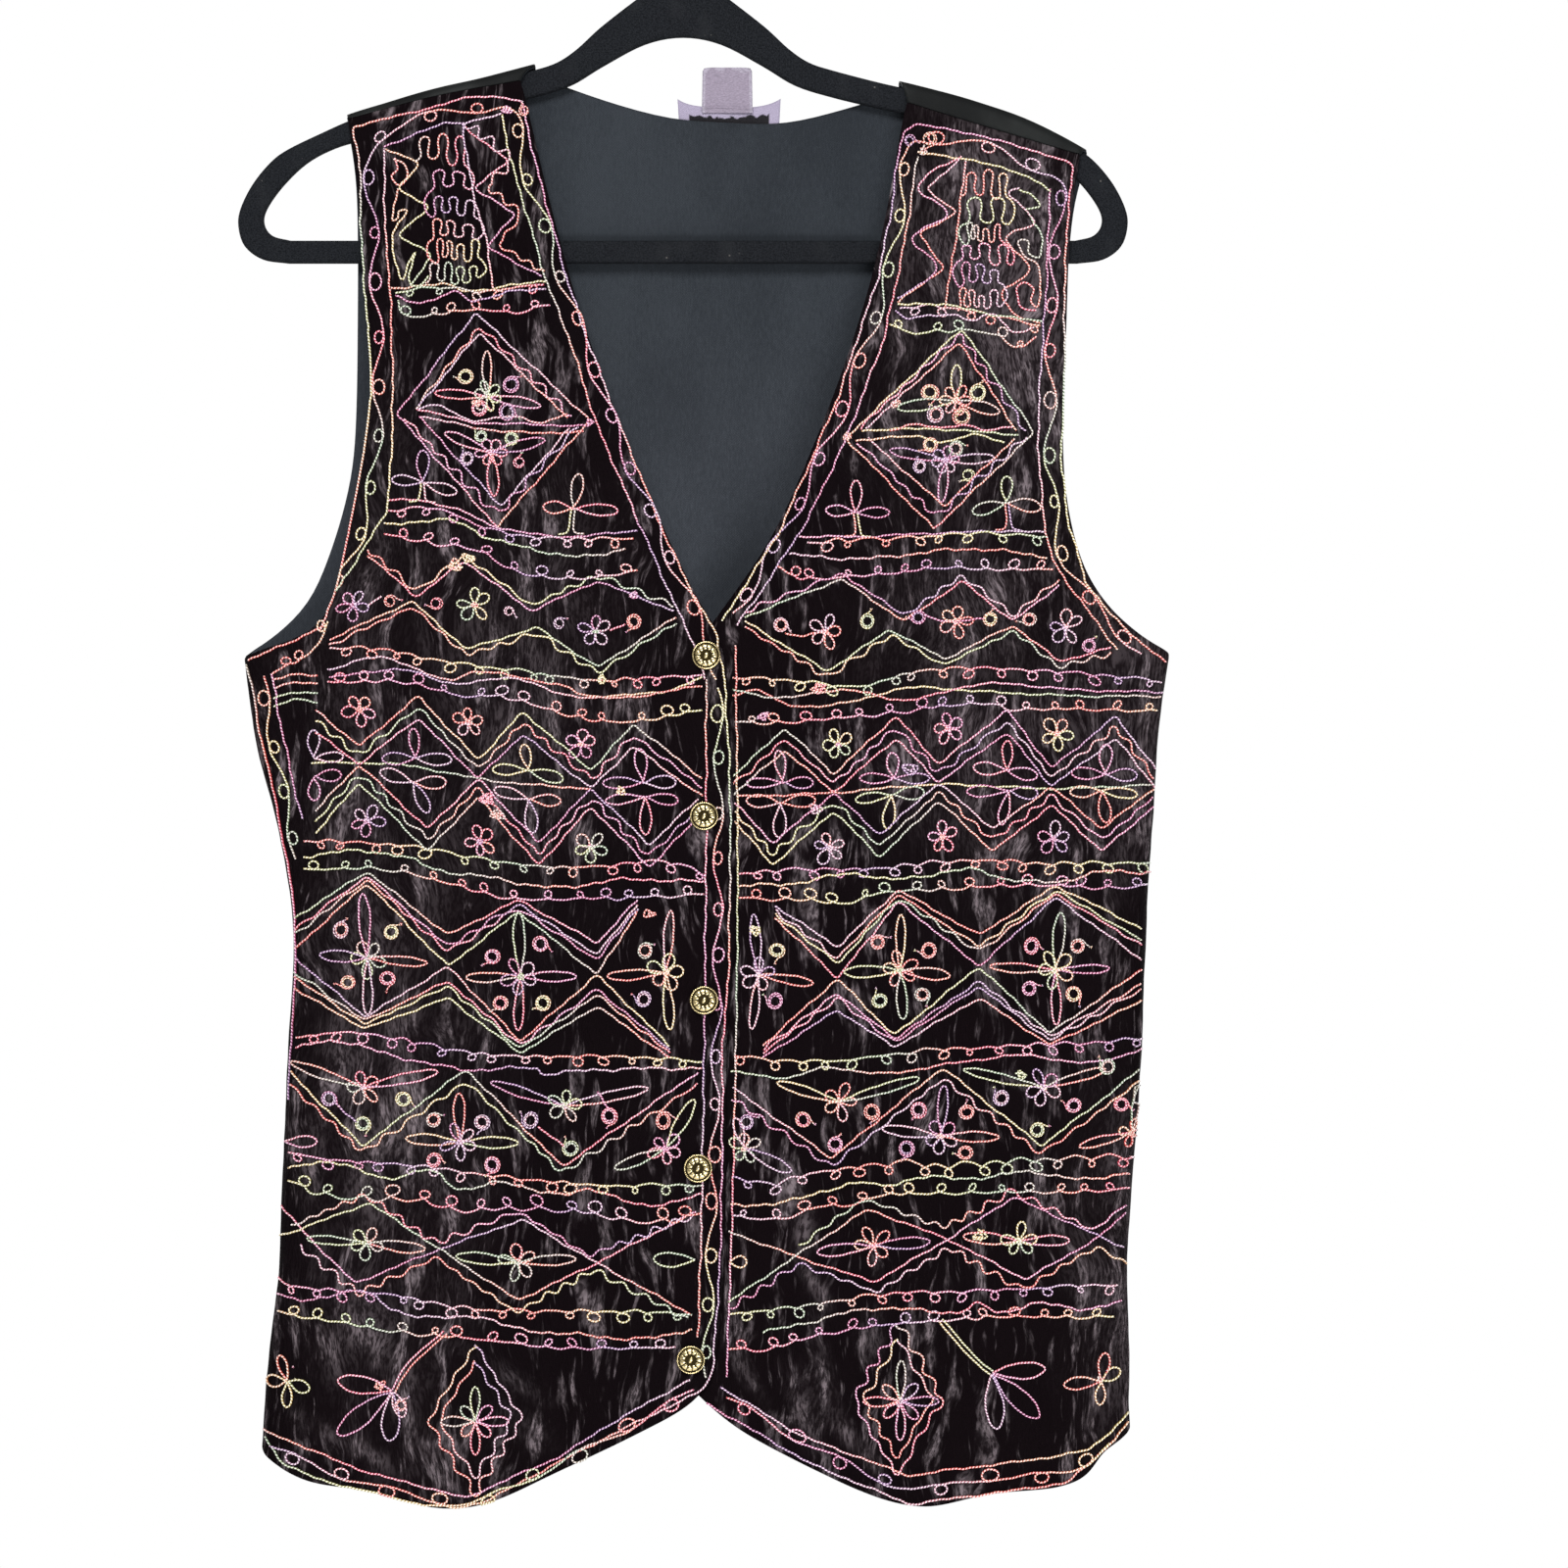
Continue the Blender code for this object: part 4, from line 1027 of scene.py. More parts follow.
def right_chest(work):
    """Loop rows round a chain of low diamonds with a flower in each."""
    work.soft([(-146, -352), (-130, -352), (-110, -357), (-92, -365), (-60, -370), (-22, -367)])
    work.rows(
        [(-146, -357), (-120, -357), (-95, -367), (-60, -372), (-24, -371)],
        [(-148, -364), (-115, -362), (-95, -371), (-70, -377), (-50, -380), (-28, -376)],
        [(-148, -369), (-125, -372), (-100, -377), (-80, -387), (-50, -390), (-22, -387)],
    )
    upper = (
        (-156, -379, 1), (-132, -400, 0), (-108, -382, 1), (-75, -407, 0), (-42, -392, 1), (-4, -407, 0),
    )
    work.zigzag(upper, 1, PAIR_ROWS)
    lower = (
        (-175, -421, 1), (-134, -402, 0), (-107, -426, 1), (-72, -415, 0), (-42, -435, 1), (-3, -410, 0),
    )
    work.zigzag(lower, -1, PAIR_ROWS)
    work.flowers([(-163, -404), (-103, -404), (-43, -417)], 8.2)
    for spot, radius in (((-145, -402), 3.2), ((-122, -403), 3.4), ((-86, -407), 2.6), ((-61, -413), 3)):
        work.coil(spot, radius)
    work.coil((-24, -412), 3.6, 3)
    work.soft([(-36, -416), (-28, -414)])
    work.soft([(-156, -404), (-149, -400)])
    work.tangle((-112, -384), 5, 12)
    work.tangle((-106, -381), 4.5, 10)
    work.tangle((-24, -399), 3)
    work.curls([
        (-175, -425), (-147, -427), (-132, -430), (-99, -435), (-60, -440), (-36, -442), (10, -439),
    ], -1, 12.5)
    work.soft([
        (-176, -436), (-148, -430), (-118, -441), (-100, -437), (-60, -444), (-46, -449), (-10, -447),
        (10, -440),
    ])
    work.soft([
        (-175, -440), (-140, -436), (-112, -443), (-84, -440), (-60, -448), (-30, -450), (10, -444),
    ])
    work.curls([
        (-176, -442), (-141, -441), (-111, -448), (-87, -449), (-60, -457), (-30, -461), (10, -456),
    ], 1, 13)
    work.tangle((-40, -441), 4)


def right_waist(work):
    """A close chain of diamonds, two sprigs in each, with flowers between."""
    upper = (
        (-182, -456, 1), (-160, -483, 0), (-131, -449, 1), (-101, -490, 0), (-79, -457, 1),
        (-45, -495, 0), (-24, -463, 1), (10, -499, 0),
    )
    work.zigzag(upper, 1, CHAIN_ROWS)
    lower = (
        (-182, -517, 1), (-160, -483, 0), (-126, -526, 1), (-101, -490, 0), (-71, -533, 1),
        (-45, -495, 0), (-16, -534, 1), (8, -500, 0),
    )
    work.zigzag(lower, -1, CHAIN_ROWS)
    work.soft([(-184, -482), (-141, -483), (-101, -490), (-75, -493), (-45, -495)])
    for centre, tips in (
        ((-183, -480), ((-183, -466), (-168, -479))), ((-183, -489), ((-183, -501), (-169, -488))),
        ((-132, -480), ((-133, -465), (-149, -480), (-114, -481))),
        ((-133, -492), ((-126, -507), (-150, -487), (-117, -492))),
        ((-76, -486), ((-78, -473), (-94, -486), (-59, -490))),
        ((-76, -500), ((-73, -517), (-93, -495), (-60, -501))),
        ((-19, -492), ((-21, -475), (-39, -492), (-3, -492))),
        ((-18, -499), ((-18, -518), (-38, -501), (-2, -501))),
    ):
        work.sprig(centre, tips)
    work.flowers([(-160, -456), (-106, -462), (-50, -473), (-156, -511), (-100, -521), (-45, -524)], 8.3)
    work.tangle((-97, -500), 5, 12)
    work.tangle((-91, -508), 4.5, 10)
    work.tangle((-30, -496), 4, 7)
    work.rows(
        [(-188, -521), (-134, -524), (-109, -529), (-70, -534), (-40, -534), (-10, -532), (12, -538)],
        [
            (-188, -529), (-168, -526), (-140, -528), (-122, -535), (-95, -539), (-62, -544), (-30, -540),
            (12, -541),
        ],
        [(-188, -535), (-149, -534), (-120, -540), (-97, -546), (-70, -549), (11, -547)],
    )


def right_stars(work):
    """A wide chain of diamonds with a long star in each."""
    upper = (
        (-193, -575, 0), (-156, -536, 1), (-116, -583, 0), (-81, -550, 1), (-42, -587, 0), (-22, -550, 1),
    )
    work.zigzag(upper, 1, WIDE_CHAIN_ROWS)
    lower = (
        (-193, -579, 0), (-157, -614, 1), (-116, -583, 0), (-80, -626, 1), (-42, -587, 0), (-6, -628, 1),
    )
    work.zigzag(lower, -1, WIDE_CHAIN_ROWS)
    work.star((-156, -579), ((-159, -547), (-180, -578), (-156, -607), (-126, -581)))
    work.star((-80, -588), ((-82, -556), (-107, -588), (-81, -615), (-52, -588)))
    work.star((-8, -586), ((-6, -555), (-37, -588), (-6, -614)))
    work.coils([
        (-169, -565), (-144, -566), (-166, -591), (-146, -589), (-70, -572), (-94, -578), (-90, -601),
    ], 3.9, 3.1)
    work.coils([(-69, -601), (-18, -575), (-19, -599)], 3.8, 3.1)
    work.tangle((-16, -557), 4, 7)
    work.curls([
        (-192, -619), (-166, -616), (-144, -619), (-110, -626), (-75, -628), (-40, -628), (10, -630),
    ], -1)
    work.soft([
        (-192, -624), (-171, -620), (-144, -627), (-108, -634), (-75, -633), (-67, -636), (-40, -634),
        (10, -633),
    ], 0.5)


def right_garden(work):
    """A zigzag with stars on both sides, and loop rows below it."""
    line = ((-195, -636, 1), (-158, -672, 0), (-107, -634, 1), (-59, -682, 0), (8, -635, 1))
    work.zigzag(line, 1, (("plain", 0, 0), ("wavy", 6.0, -3.0)))
    work.star((-158, -643), ((-195, -630), (-121, -635)), 5, 9)
    work.star((-110, -670), ((-110, -646), (-137, -669), (-81, -670)), 5, 9)
    work.star((-58, -652), ((-95, -641), (-17, -642)), 5, 9)
    work.star((-8, -673), ((7, -649), (-33, -683)), 5, 8.5)
    work.petals((-199, -671), ((2, 18, 5.5),))
    work.coils([
        (-175, -649), (-158, -661), (-138, -649), (-123, -659), (-99, -660), (-123, -679), (-94, -681),
    ], 3.9, 3.1)
    work.coils([(-75, -659), (-55, -673), (-36, -657), (-9, -659)], 4.0, 3.1)
    work.soft([(-172, -651), (-166, -656), (-161, -660)])
    work.soft([(-71, -662), (-64, -668), (-58, -672)])
    work.soft([(-42, -645), (-39, -650), (-36, -654)])
    work.curls([
        (-196, -676), (-170, -680), (-145, -681), (-105, -686), (-75, -689), (-30, -692), (10, -691),
    ], -1, 13)
    work.soft([
        (-196, -684), (-172, -680), (-148, -688), (-126, -684), (-110, -693), (-88, -690), (-60, -696),
        (-44, -693), (-20, -701), (10, -696),
    ], 0.5)
    work.curls([
        (-196, -690), (-170, -696), (-132, -697), (-110, -702), (-78, -701), (-52, -703), (-20, -708),
        (10, -705),
    ], 1, 14, 2.3, 2.2)


def right_hips(work):
    """Two zigzags that cross, with a star in each space, and loop rows below."""
    rise = (
        (-201, -718, 0), (-155, -700, 1), (-120, -723, 0), (-81, -748, 1), (-43, -730, 0), (7, -704, 1),
    )
    work.zigzag(rise, 1, PLAIN_ROW)
    fall = (
        (-200, -703, 1), (-162, -740, 0), (-120, -723, 0), (-79, -708, 1), (-43, -729, 0), (5, -755, 1),
    )
    work.zigzag(fall, 1, PLAIN_ROW)
    work.wavy([(-194, -712), (-157, -696), (-122, -720), (-81, -704), (-46, -726), (5, -706)], 1.1, 11)
    work.wavy([(-190, -722), (-160, -745), (-122, -727), (-82, -754), (-44, -733), (3, -757)], 1.1, 11)
    work.star((-156, -720), ((-186, -719), (-127, -722)), 5, 9)
    work.star((-81, -729), ((-112, -727), (-52, -728)), 5, 9)
    work.petals((7, -728), ((180, 21, 7),))
    work.rows(
        [(-202, -739), (-190, -743), (-144, -746), (-115, -752), (-81, -754), (-40, -754), (5, -755)],
        [
            (-202, -746), (-184, -749), (-160, -743), (-143, -753), (-120, -757), (-100, -756),
            (-82, -762), (-50, -765), (-20, -767), (5, -762),
        ],
        [(-201, -755), (-173, -758), (-150, -762), (-117, -765), (-81, -769), (-52, -771), (-3, -771)],
    )


def right_hem(work):
    """The flowers and the medallion above the hem."""
    work.petals((-196, -789), ((105, 13, 5), (183, 11, 6), (270, 13, 5), (-20, 12, 6)))
    work.knot((-193, -782))
    work.knot((-192, -788))
    stem = np.array([(-117, -764), (-124, -770), (-133, -778), (-139, -786), (-142.5, -793)])
    work.soft(stem - (0.8, -0.7), 0.1)
    work.soft(stem + (0.8, -0.7), 0.1)
    work.petals((-143, -793), ((171, 28, 8.5), (217, 35, 9.5), (266, 25, 9), (292, 14, 6)))
    work.coil((-139, -800), 3.2, 2.5)
    work.tangle((-150, -791), 5, 7)
    medallion(work, (-102, -807), 23.5, 37, (-102, -808), 17)


def left_borders(work):
    """The lines and scrolls along the edges."""
    work.plain([
        (240, -432), (226, -421), (212, -408), (200, -392), (191, -360), (188, -330), (190, -300),
        (190, -247), (192, -207), (195, -184), (169, -175), (137, -167), (117, -164), (110, -167),
        (107, -182), (104, -207), (97, -242), (88, -268), (78, -299), (64, -332), (47, -370), (33, -391),
        (20, -412),
    ])
    work.soft([
        (183, -196), (182, -223), (181, -247), (178, -290), (177, -326), (181, -370), (188, -388),
        (216, -426),
    ])
    work.plain([
        (117, -180), (113, -208), (109, -231), (100, -272), (81, -322), (62, -362), (40, -396),
        (27, -414),
    ])
    work.scroll([
        (228, -428), (200, -398), (187, -372), (183, -340), (183, -300), (184, -247), (187, -210),
        (187, -192), (168, -181), (140, -173), (117, -171), (112, -182), (108, -208), (102, -240),
        (92, -272), (78, -310), (62, -345), (42, -382), (25, -408),
    ])
    work.plain([(19, -791), (59, -815), (113, -835), (131, -832), (177, -827), (202, -823), (222, -806)])
    work.scroll([(22, -796), (64, -820), (113, -841), (150, -836), (190, -834), (212, -820)], 1.7)
    work.plain([(12, -799), (64, -829), (113, -849), (134, -846), (191, -839), (206, -826), (222, -811)])
    work.soft([(26.5, -424), (27.5, -520), (27, -600), (25, -700), (22, -786)], 0.2)


def left_shoulder(work):
    """The panel of round bends under the shoulder, and the loop rows below it."""
    work.plain([(117, -178), (141, -181), (168, -188), (180, -194), (183, -198)])
    work.plain([(141, -182), (138, -207), (134, -235), (130, -256)])
    work.plain([(139, -181), (121, -196), (137, -208), (118, -218), (130, -236), (107, -253)])
    work.soft([(139, -180), (125, -187), (118, -197), (132, -209), (114, -221), (127, -236), (107, -251)])
    work.meander((
        (140, 163, -200, -188, 3),
        (139, 162, -213, -202, 2),
        (140, 159, -223, -214, 4),
        (138, 163, -233, -224, 3),
        (137, 160, -244, -234, 3),
        (136, 158, -256, -247, 4),
    ))
    work.soft([
        (168, -196), (163, -199), (175, -213), (161, -221), (173, -237), (159, -248), (166, -259),
        (178, -263),
    ])
    work.soft([
        (168, -196), (174, -199), (178, -205), (171, -206), (173, -210), (179, -219), (178, -230),
        (173, -228), (172, -222), (167, -223), (171, -230), (176, -233), (178, -243), (177, -255),
        (173, -253), (175, -246), (170, -243), (166, -246), (169, -255), (176, -257),
    ])
    work.soft([(107, -254), (127, -254), (155, -259), (179, -263)], 0.4)
    work.curls([(108, -256), (127, -256), (155, -260), (178, -265)], -1)
    work.soft([
        (106, -257), (113, -261), (134, -259), (145, -262), (155, -259), (164, -267), (175, -266),
    ], 0.4)
    work.curls([(103, -264), (115, -267), (145, -266), (159, -270), (168, -275), (176, -270)], 1)
    work.tangle((120, -177), 4, 8)
    work.coil((123, -171), 3.6)
    work.coil((113, -172), 2.8)


def left_diamond(work):
    """The large diamond, with a sprig at each side of its foot."""
    work.plain([(125, -366), (81, -321), (139, -266), (175, -318), (125, -366)])
    work.wavy([(87, -323), (126, -360), (171, -320)], 1.1)
    work.wavy([(88, -316), (138, -269), (171, -317)], 1.1)
    work.plain([(91, -316), (138, -273), (166, -317)])
    work.plain([(92, -321), (130, -355), (165, -321)])
    work.plain([(89, -317), (123, -316), (167, -319)])
    work.soft([(103, -317), (115, -314), (128, -316), (140, -314), (152, -317), (164, -315)])
    work.soft([(86, -322), (100, -321), (118, -320), (130, -323), (146, -319), (160, -323)])
    work.star((136, -302), ((137, -284), (107, -306), (158, -308)), 6, 7.5)
    work.star((131, -332), ((128, -353), (103, -327), (155, -330)), 6, 7.5)
    for spot in (
        (123, -298), (147, -298), (126, -309), (139, -310), (123, -324), (118, -335), (136, -326),
    ):
        work.coil(spot, coil_size(spot), 3.2)
    work.coil((142, -339), 3.3)
    work.tangle((106, -304), 3)
    work.tangle((82, -320), 3)
    work.sprig((86, -358), ((86, -342), (71, -357), (103, -358)), (87, -370))
    work.sprig((161, -353), ((161, -340), (144, -357), (178, -356)), (162, -367))


def left_chest(work):
    """Loop rows round a chain of low diamonds with a flower in each."""
    work.plain([(58, -370), (86, -370), (90, -370), (130, -368), (164, -367), (180, -368)])
    work.rows(
        [(62, -373), (100, -372), (140, -369), (181, -370)],
        [(53, -379), (88, -381), (110, -379), (145, -376), (181, -380)],
        [(47, -385), (61, -390), (100, -388), (130, -385), (184, -386)],
    )
    upper = ((31, -410, 0), (79, -391, 1), (110, -412, 0), (139, -392, 1), (164, -412, 0), (187, -394, 1))
    work.zigzag(upper, 1, PAIR_ROWS)
    lower = (
        (31, -412, 0), (72, -437, 1), (103, -416, 0), (130, -431, 1), (164, -414, 0), (187, -432, 1),
        (213, -425, 0),
    )
    work.zigzag(lower, -1, PAIR_ROWS)
    work.flowers([(71, -417), (136, -412), (190, -415)], 8.4)
    work.coils([(49, -414), (92, -412), (117, -410), (153, -411), (172, -411), (202, -424)], 3.6, 3.0)
    work.soft([(51, -418), (60, -419), (66, -418)])
    work.soft([(120, -409), (130, -412), (143, -411), (150, -411)])
    work.curls([
        (25, -440), (54, -442), (88, -445), (114, -438), (151, -436), (190, -438), (238, -442),
    ], -1)
    work.soft([
        (25, -449), (38, -446), (54, -454), (84, -452), (112, -445), (151, -447), (196, -449),
        (238, -449),
    ])
    work.soft([(25, -446), (50, -450), (80, -446), (112, -451), (150, -443), (196, -446), (239, -447)])
    work.curls([
        (26, -462), (61, -461), (100, -457), (146, -452), (166, -455), (196, -455), (236, -456),
    ], 1)
    work.tangle((68, -445), 5)
    work.tangle((40, -459), 4)


def left_waist(work):
    """A close chain of diamonds, two sprigs in each, with flowers between."""
    upper = (
        (24, -499, 0), (51, -465, 1), (75, -497, 0), (106, -459, 1), (127, -492, 0), (161, -456, 1),
        (183, -494, 0), (215, -459, 1), (235, -494, 0),
    )
    work.zigzag(upper, 1, CHAIN_ROWS)
    lower = (
        (26, -502, 0), (45, -533, 1), (75, -497, 0), (98, -529, 1), (127, -492, 0), (154, -526, 1),
        (183, -494, 0), (208, -526, 1), (234, -495, 0),
    )
    work.zigzag(lower, -1, CHAIN_ROWS)
    work.soft([(27, -499), (75, -497), (127, -493), (183, -495), (234, -493)])
    for centre, tips in (
        ((50, -492), ((48, -476), (32, -492), (65, -492))),
        ((49, -502), ((48, -519), (32, -501), (66, -501))),
        ((105, -490), ((104, -477), (88, -490), (123, -490))),
        ((104, -498), ((102, -515), (86, -501), (120, -497))),
        ((161, -486), ((161, -471), (144, -485), (176, -489))),
        ((162, -496), ((158, -513), (141, -496), (176, -498))),
        ((210, -488), ((210, -473), (193, -487), (226, -489))),
        ((208, -496), ((210, -512), (192, -497), (226, -498))),
    ):
        work.sprig(centre, tips)
    work.flowers([(77, -473), (132, -465), (186, -468), (73, -524), (129, -519), (184, -520)], 8.3)
    work.tangle((113, -485), 5, 8)
    work.tangle((66, -505), 4, 7)
    work.rows(
        [(28, -537), (60, -536), (100, -535), (144, -531), (181, -533), (233, -532)],
        [
            (28, -543), (54, -542), (84, -537), (106, -540), (142, -535), (162, -540), (186, -541),
            (210, -536), (233, -537),
        ],
        [
            (28, -549), (61, -549), (79, -551), (100, -546), (127, -544), (163, -542), (199, -543),
            (233, -543),
        ],
    )


def left_stars(work):
    """A wide chain of diamonds with a long star in each."""
    upper = ((46, -553, 1), (77, -589, 0), (107, -545, 1), (147, -583, 0), (185, -543, 1), (228, -580, 0))
    work.zigzag(upper, 1, WIDE_CHAIN_ROWS)
    lower = ((40, -628, 1), (77, -589, 0), (105, -623, 1), (147, -583, 0), (182, -622, 1), (228, -585, 0))
    work.zigzag(lower, -1, WIDE_CHAIN_ROWS)
    work.star((38, -587), ((36, -557), (34, -614), (65, -592)))
    work.star((108, -585), ((109, -557), (80, -586), (110, -609), (133, -587)))
    work.star((185, -585), ((187, -556), (152, -584), (185, -612), (212, -585)))
    work.coils([
        (47, -575), (46, -600), (97, -571), (122, -575), (98, -600), (119, -597), (173, -573),
        (196, -573), (172, -594), (194, -597),
    ], 3.9, 3.1)
    work.tangle((36, -565), 4, 8)
    work.curls([
        (26, -627), (41, -630), (79, -630), (104, -627), (142, -624), (197, -622), (229, -620),
    ], -1)
    work.soft([
        (24, -635), (52, -638), (72, -633), (100, -636), (140, -630), (170, -627), (200, -631),
        (229, -625),
    ])


def left_garden(work):
    """A zigzag with stars on both sides, and loop rows below it."""
    line = ((25, -643, 1), (74, -678, 0), (129, -633, 1), (178, -672, 0), (227, -635, 1))
    work.zigzag(line, 1, (("plain", 0, 0), ("wavy", 5.5, -4.0)))
    work.star((31, -673), ((54, -685), (26, -658)), 5, 8)
    work.star((78, -650), ((47, -641), (117, -637)), 5, 9)
    work.star((128, -667), ((130, -642), (99, -663), (157, -668)), 5, 9)
    work.star((179, -643), ((139, -634), (210, -634)), 5, 9)
    work.star((223, -666), ((228, -643), (197, -673)), 4, 7)
    work.coils([
        (32, -660), (60, -659), (94, -655), (76, -671), (117, -654), (141, -655), (111, -673),
        (140, -675), (158, -648), (176, -664), (194, -652), (211, -633), (218, -652),
    ], 3.9, 3.1)
    work.tangle((168, -637), 4, 8)
    work.curls([
        (25, -687), (44, -692), (61, -687), (98, -682), (136, -683), (170, -680), (226, -679),
    ], -1, 14, 2.1, 2.4)
    work.soft([
        (24, -701), (49, -700), (70, -694), (90, -690), (100, -691), (125, -687), (150, -688),
        (168, -684), (190, -688), (222, -687),
    ], 0.5)
    work.curls([
        (25, -706), (50, -707), (67, -701), (83, -700), (104, -695), (149, -694), (184, -694),
        (222, -694),
    ], 1)


def left_hips(work):
    """Two zigzags that cross, with a star in each space, and loop rows below."""
    rise = (
        (23, -749, 0), (58, -725, 0), (92, -703, 1), (132, -718, 0), (170, -738, 1), (206, -718, 0),
        (220, -706, 1),
    )
    work.zigzag(rise, 1, PLAIN_ROW)
    fall = (
        (23, -714, 0), (58, -727, 0), (95, -739, 1), (133, -717, 0), (164, -697, 1), (196, -712, 0),
        (219, -723, 1),
    )
    work.zigzag(fall, 1, PLAIN_ROW)
    work.wavy([(58, -721), (90, -698), (130, -712), (164, -694), (204, -714), (220, -702)], 1.1, 11)
    work.wavy([
        (24, -752), (58, -730), (96, -744), (132, -722), (168, -743), (206, -722), (221, -732),
    ], 1.1, 11)
    work.star((95, -721), ((67, -725), (123, -719)), 5, 9)
    work.star((167, -719), ((139, -717), (192, -719)), 5, 9)
    work.petals((23, -729), ((0, 9, 6),))
    work.tangle((147, -716), 5, 10)
    work.rows(
        [(23, -755), (49, -753), (76, -749), (108, -745), (132, -745), (172, -743), (216, -742)],
        [
            (40, -764), (62, -759), (95, -752), (134, -754), (146, -750), (158, -754), (176, -750),
            (200, -753), (218, -750),
        ],
        [
            (23, -772), (45, -771), (61, -766), (96, -760), (122, -758), (141, -756), (177, -756),
            (214, -757),
        ],
    )


def left_hem(work):
    """The flowers and the medallion above the hem."""
    work.petals((208, -789), ((82, 14, 6), (184, 19, 6), (268, 12, 5), (30, 11, 6)))
    work.knot((211, -784))
    work.tangle((207, -788), 2.2, 6)
    stem = np.array([(128, -758), (134, -765), (142, -774), (148, -780), (153, -784)])
    work.soft(stem - (0.8, 0.7), 0.1)
    work.soft(stem + (0.8, 0.7), 0.1)
    work.petals((153, -784), ((3, 27, 8), (-45, 33, 9), (-86, 28, 9)))
    medallion(work, (107, -797), 22, 38, (108, -798), 20)


FRONTS = {
    # The seed of the stitches' unevenness, and the areas in the order they are stitched.
    # The wearer's right front is on the viewer's left.
    "right": (
        11,
        right_borders, right_shoulder, right_diamond, right_chest, right_waist,
        right_stars, right_garden, right_hips, right_hem,
    ),
    "left": (
        23,
        left_borders, left_shoulder, left_diamond, left_chest, left_waist,
        left_stars, left_garden, left_hips, left_hem,
    ),
}


def thread_frames(line, lift, cloth):
    """Where a charted line lies on the cloth: points, outward and sideways."""
    points = np.empty((len(line), 3))
    outward = np.empty((len(line), 3))
    for k, (x, z) in enumerate(line):
        eye = Vector((x * MM, LOOK_FROM, z * MM))
        place, facing = cloth.ray_cast(eye, Vector((0, 1, 0)))[:2]
        if place is None:
            place, facing = cloth.find_nearest(Vector((x * MM, LOOK_NEAR, z * MM)))[:2]
        points[k] = place
        outward[k] = facing if facing.y < 0 else -facing
    for _ in range(2):
        outward[1:-1] = (outward[:-2] + outward[1:-1] + outward[2:]) / 3
    outward /= np.linalg.norm(outward, axis=1)[:, None]
    run = np.gradient(points, axis=0)
    sideways = np.cross(outward, run)
    sideways /= np.maximum(np.linalg.norm(sideways, axis=1), 1e-12)[:, None]
    points += outward * ((lift - THREAD_SINK) * MM)
    return points, outward, sideways


def thread_mesh(name, threads, cloth):
    """One mesh of half-round strands, each a grid bent round its line."""
    strands = bmesh.new()
    for line, *_ in threads:
        bmesh.ops.create_grid(strands, x_segments=THREAD_FACES_ROUND, y_segments=len(line) - 1, size=1)
    mesh = bpy.data.meshes.new(name)
    strands.to_mesh(mesh)
    strands.free()
    places_flat = np.empty(len(mesh.vertices) * 3)
    mesh.vertices.foreach_get("co", places_flat)
    spots = places_flat.reshape(-1, 3)
    marks = np.empty((len(spots), 2))
    first = 0
    for line, shade, lift, fine in threads:
        last = first + (THREAD_FACES_ROUND + 1) * len(line)
        own = spots[first:last]
        across = (own[:, 0] + 1) / 2
        down = np.rint((own[:, 1] + 1) / 2 * (len(line) - 1)).astype(int)
        centre, outward, sideways = thread_frames(line, lift, cloth)
        wrap = math.radians(THREAD_WRAP_DEGREES)
        angle = -wrap + across * (math.pi + 2 * wrap)
        width = THREAD_HALF_WIDTH * fine * MM * np.cos(angle)
        height = THREAD_HEIGHT * MM * np.sin(angle)
        spots[first:last] = centre[down] + sideways[down] * width[:, None] + outward[down] * height[:, None]
        marks[first:last] = np.stack([across, shade + down * THREAD_STEP], axis=1)
        first = last
    mesh.vertices.foreach_set("co", spots.ravel())
    corners = np.empty(len(mesh.loops), int)
    mesh.loops.foreach_get("vertex_index", corners)
    mesh.uv_layers.new(name="thread").data.foreach_set("uv", marks[corners].ravel())
    mesh.update()
    if mesh.polygons[len(mesh.polygons) // 2].normal.y > 0.5:
        mesh.flip_normals()
    mesh.shade_smooth()
    return mesh


def make_embroidery(cloths):
    """Stitches each front's areas one after another, each as one piece."""
    look = thread()
    for side, (seed, *areas) in FRONTS.items():
        work = Needlework(seed)
        cloth_mesh = cloths["velvet_front_" + side].data
        points = [v.co for v in cloth_mesh.vertices]
        tree = BVHTree.FromPolygons(points, [list(p.vertices) for p in cloth_mesh.polygons])
        for area in areas:
            work.threads = []
            area(work)
            name = "embroidery_" + area.__name__
            add_piece(name, thread_mesh(name, work.threads, tree), look, "thread")


# Fittings.

BUTTON_PROFILE = (
    # radius, rise, how dark its hollow is
    (0.0, 0.25, 0.4),
    (2.1, 0.25, 0.4),
    (2.1, 1.2, 0.6),
    (4.4, 1.3, 0.5),
    (6.4, 1.5, 0.3),
    (6.9, 1.9, 0.1),
    (7.0, 2.2, 0.1),
    (6.92, 2.45, 0.0),
    (6.72, 2.62, 0.0),
    (6.48, 2.62, 0.0),
    (6.26, 2.45, 0.4),
    (6.08, 2.10, 1.0),
    (5.88, 1.98, 1.0),
    (5.70, 2.12, 1.0),
    (5.52, 2.45, 0.3),
    (5.25, 2.74, 0.0),
    (4.85, 2.98, 0.0),
    (4.35, 3.16, 0.0),
    (3.85, 3.24, 0.0),
    (3.35, 3.20, 0.1),
    (2.95, 3.02, 0.4),
    (2.60, 2.76, 0.9),
    (2.20, 2.66, 1.0),
    (1.60, 2.64, 1.0),
    (0.0, 2.64, 1.0),
)
BUTTON_STEPS = 132
LOBES = 11
LOBE_DEPTH = 0.42
ROPE_TURNS = 44
ROPE_DEPTH = 0.10


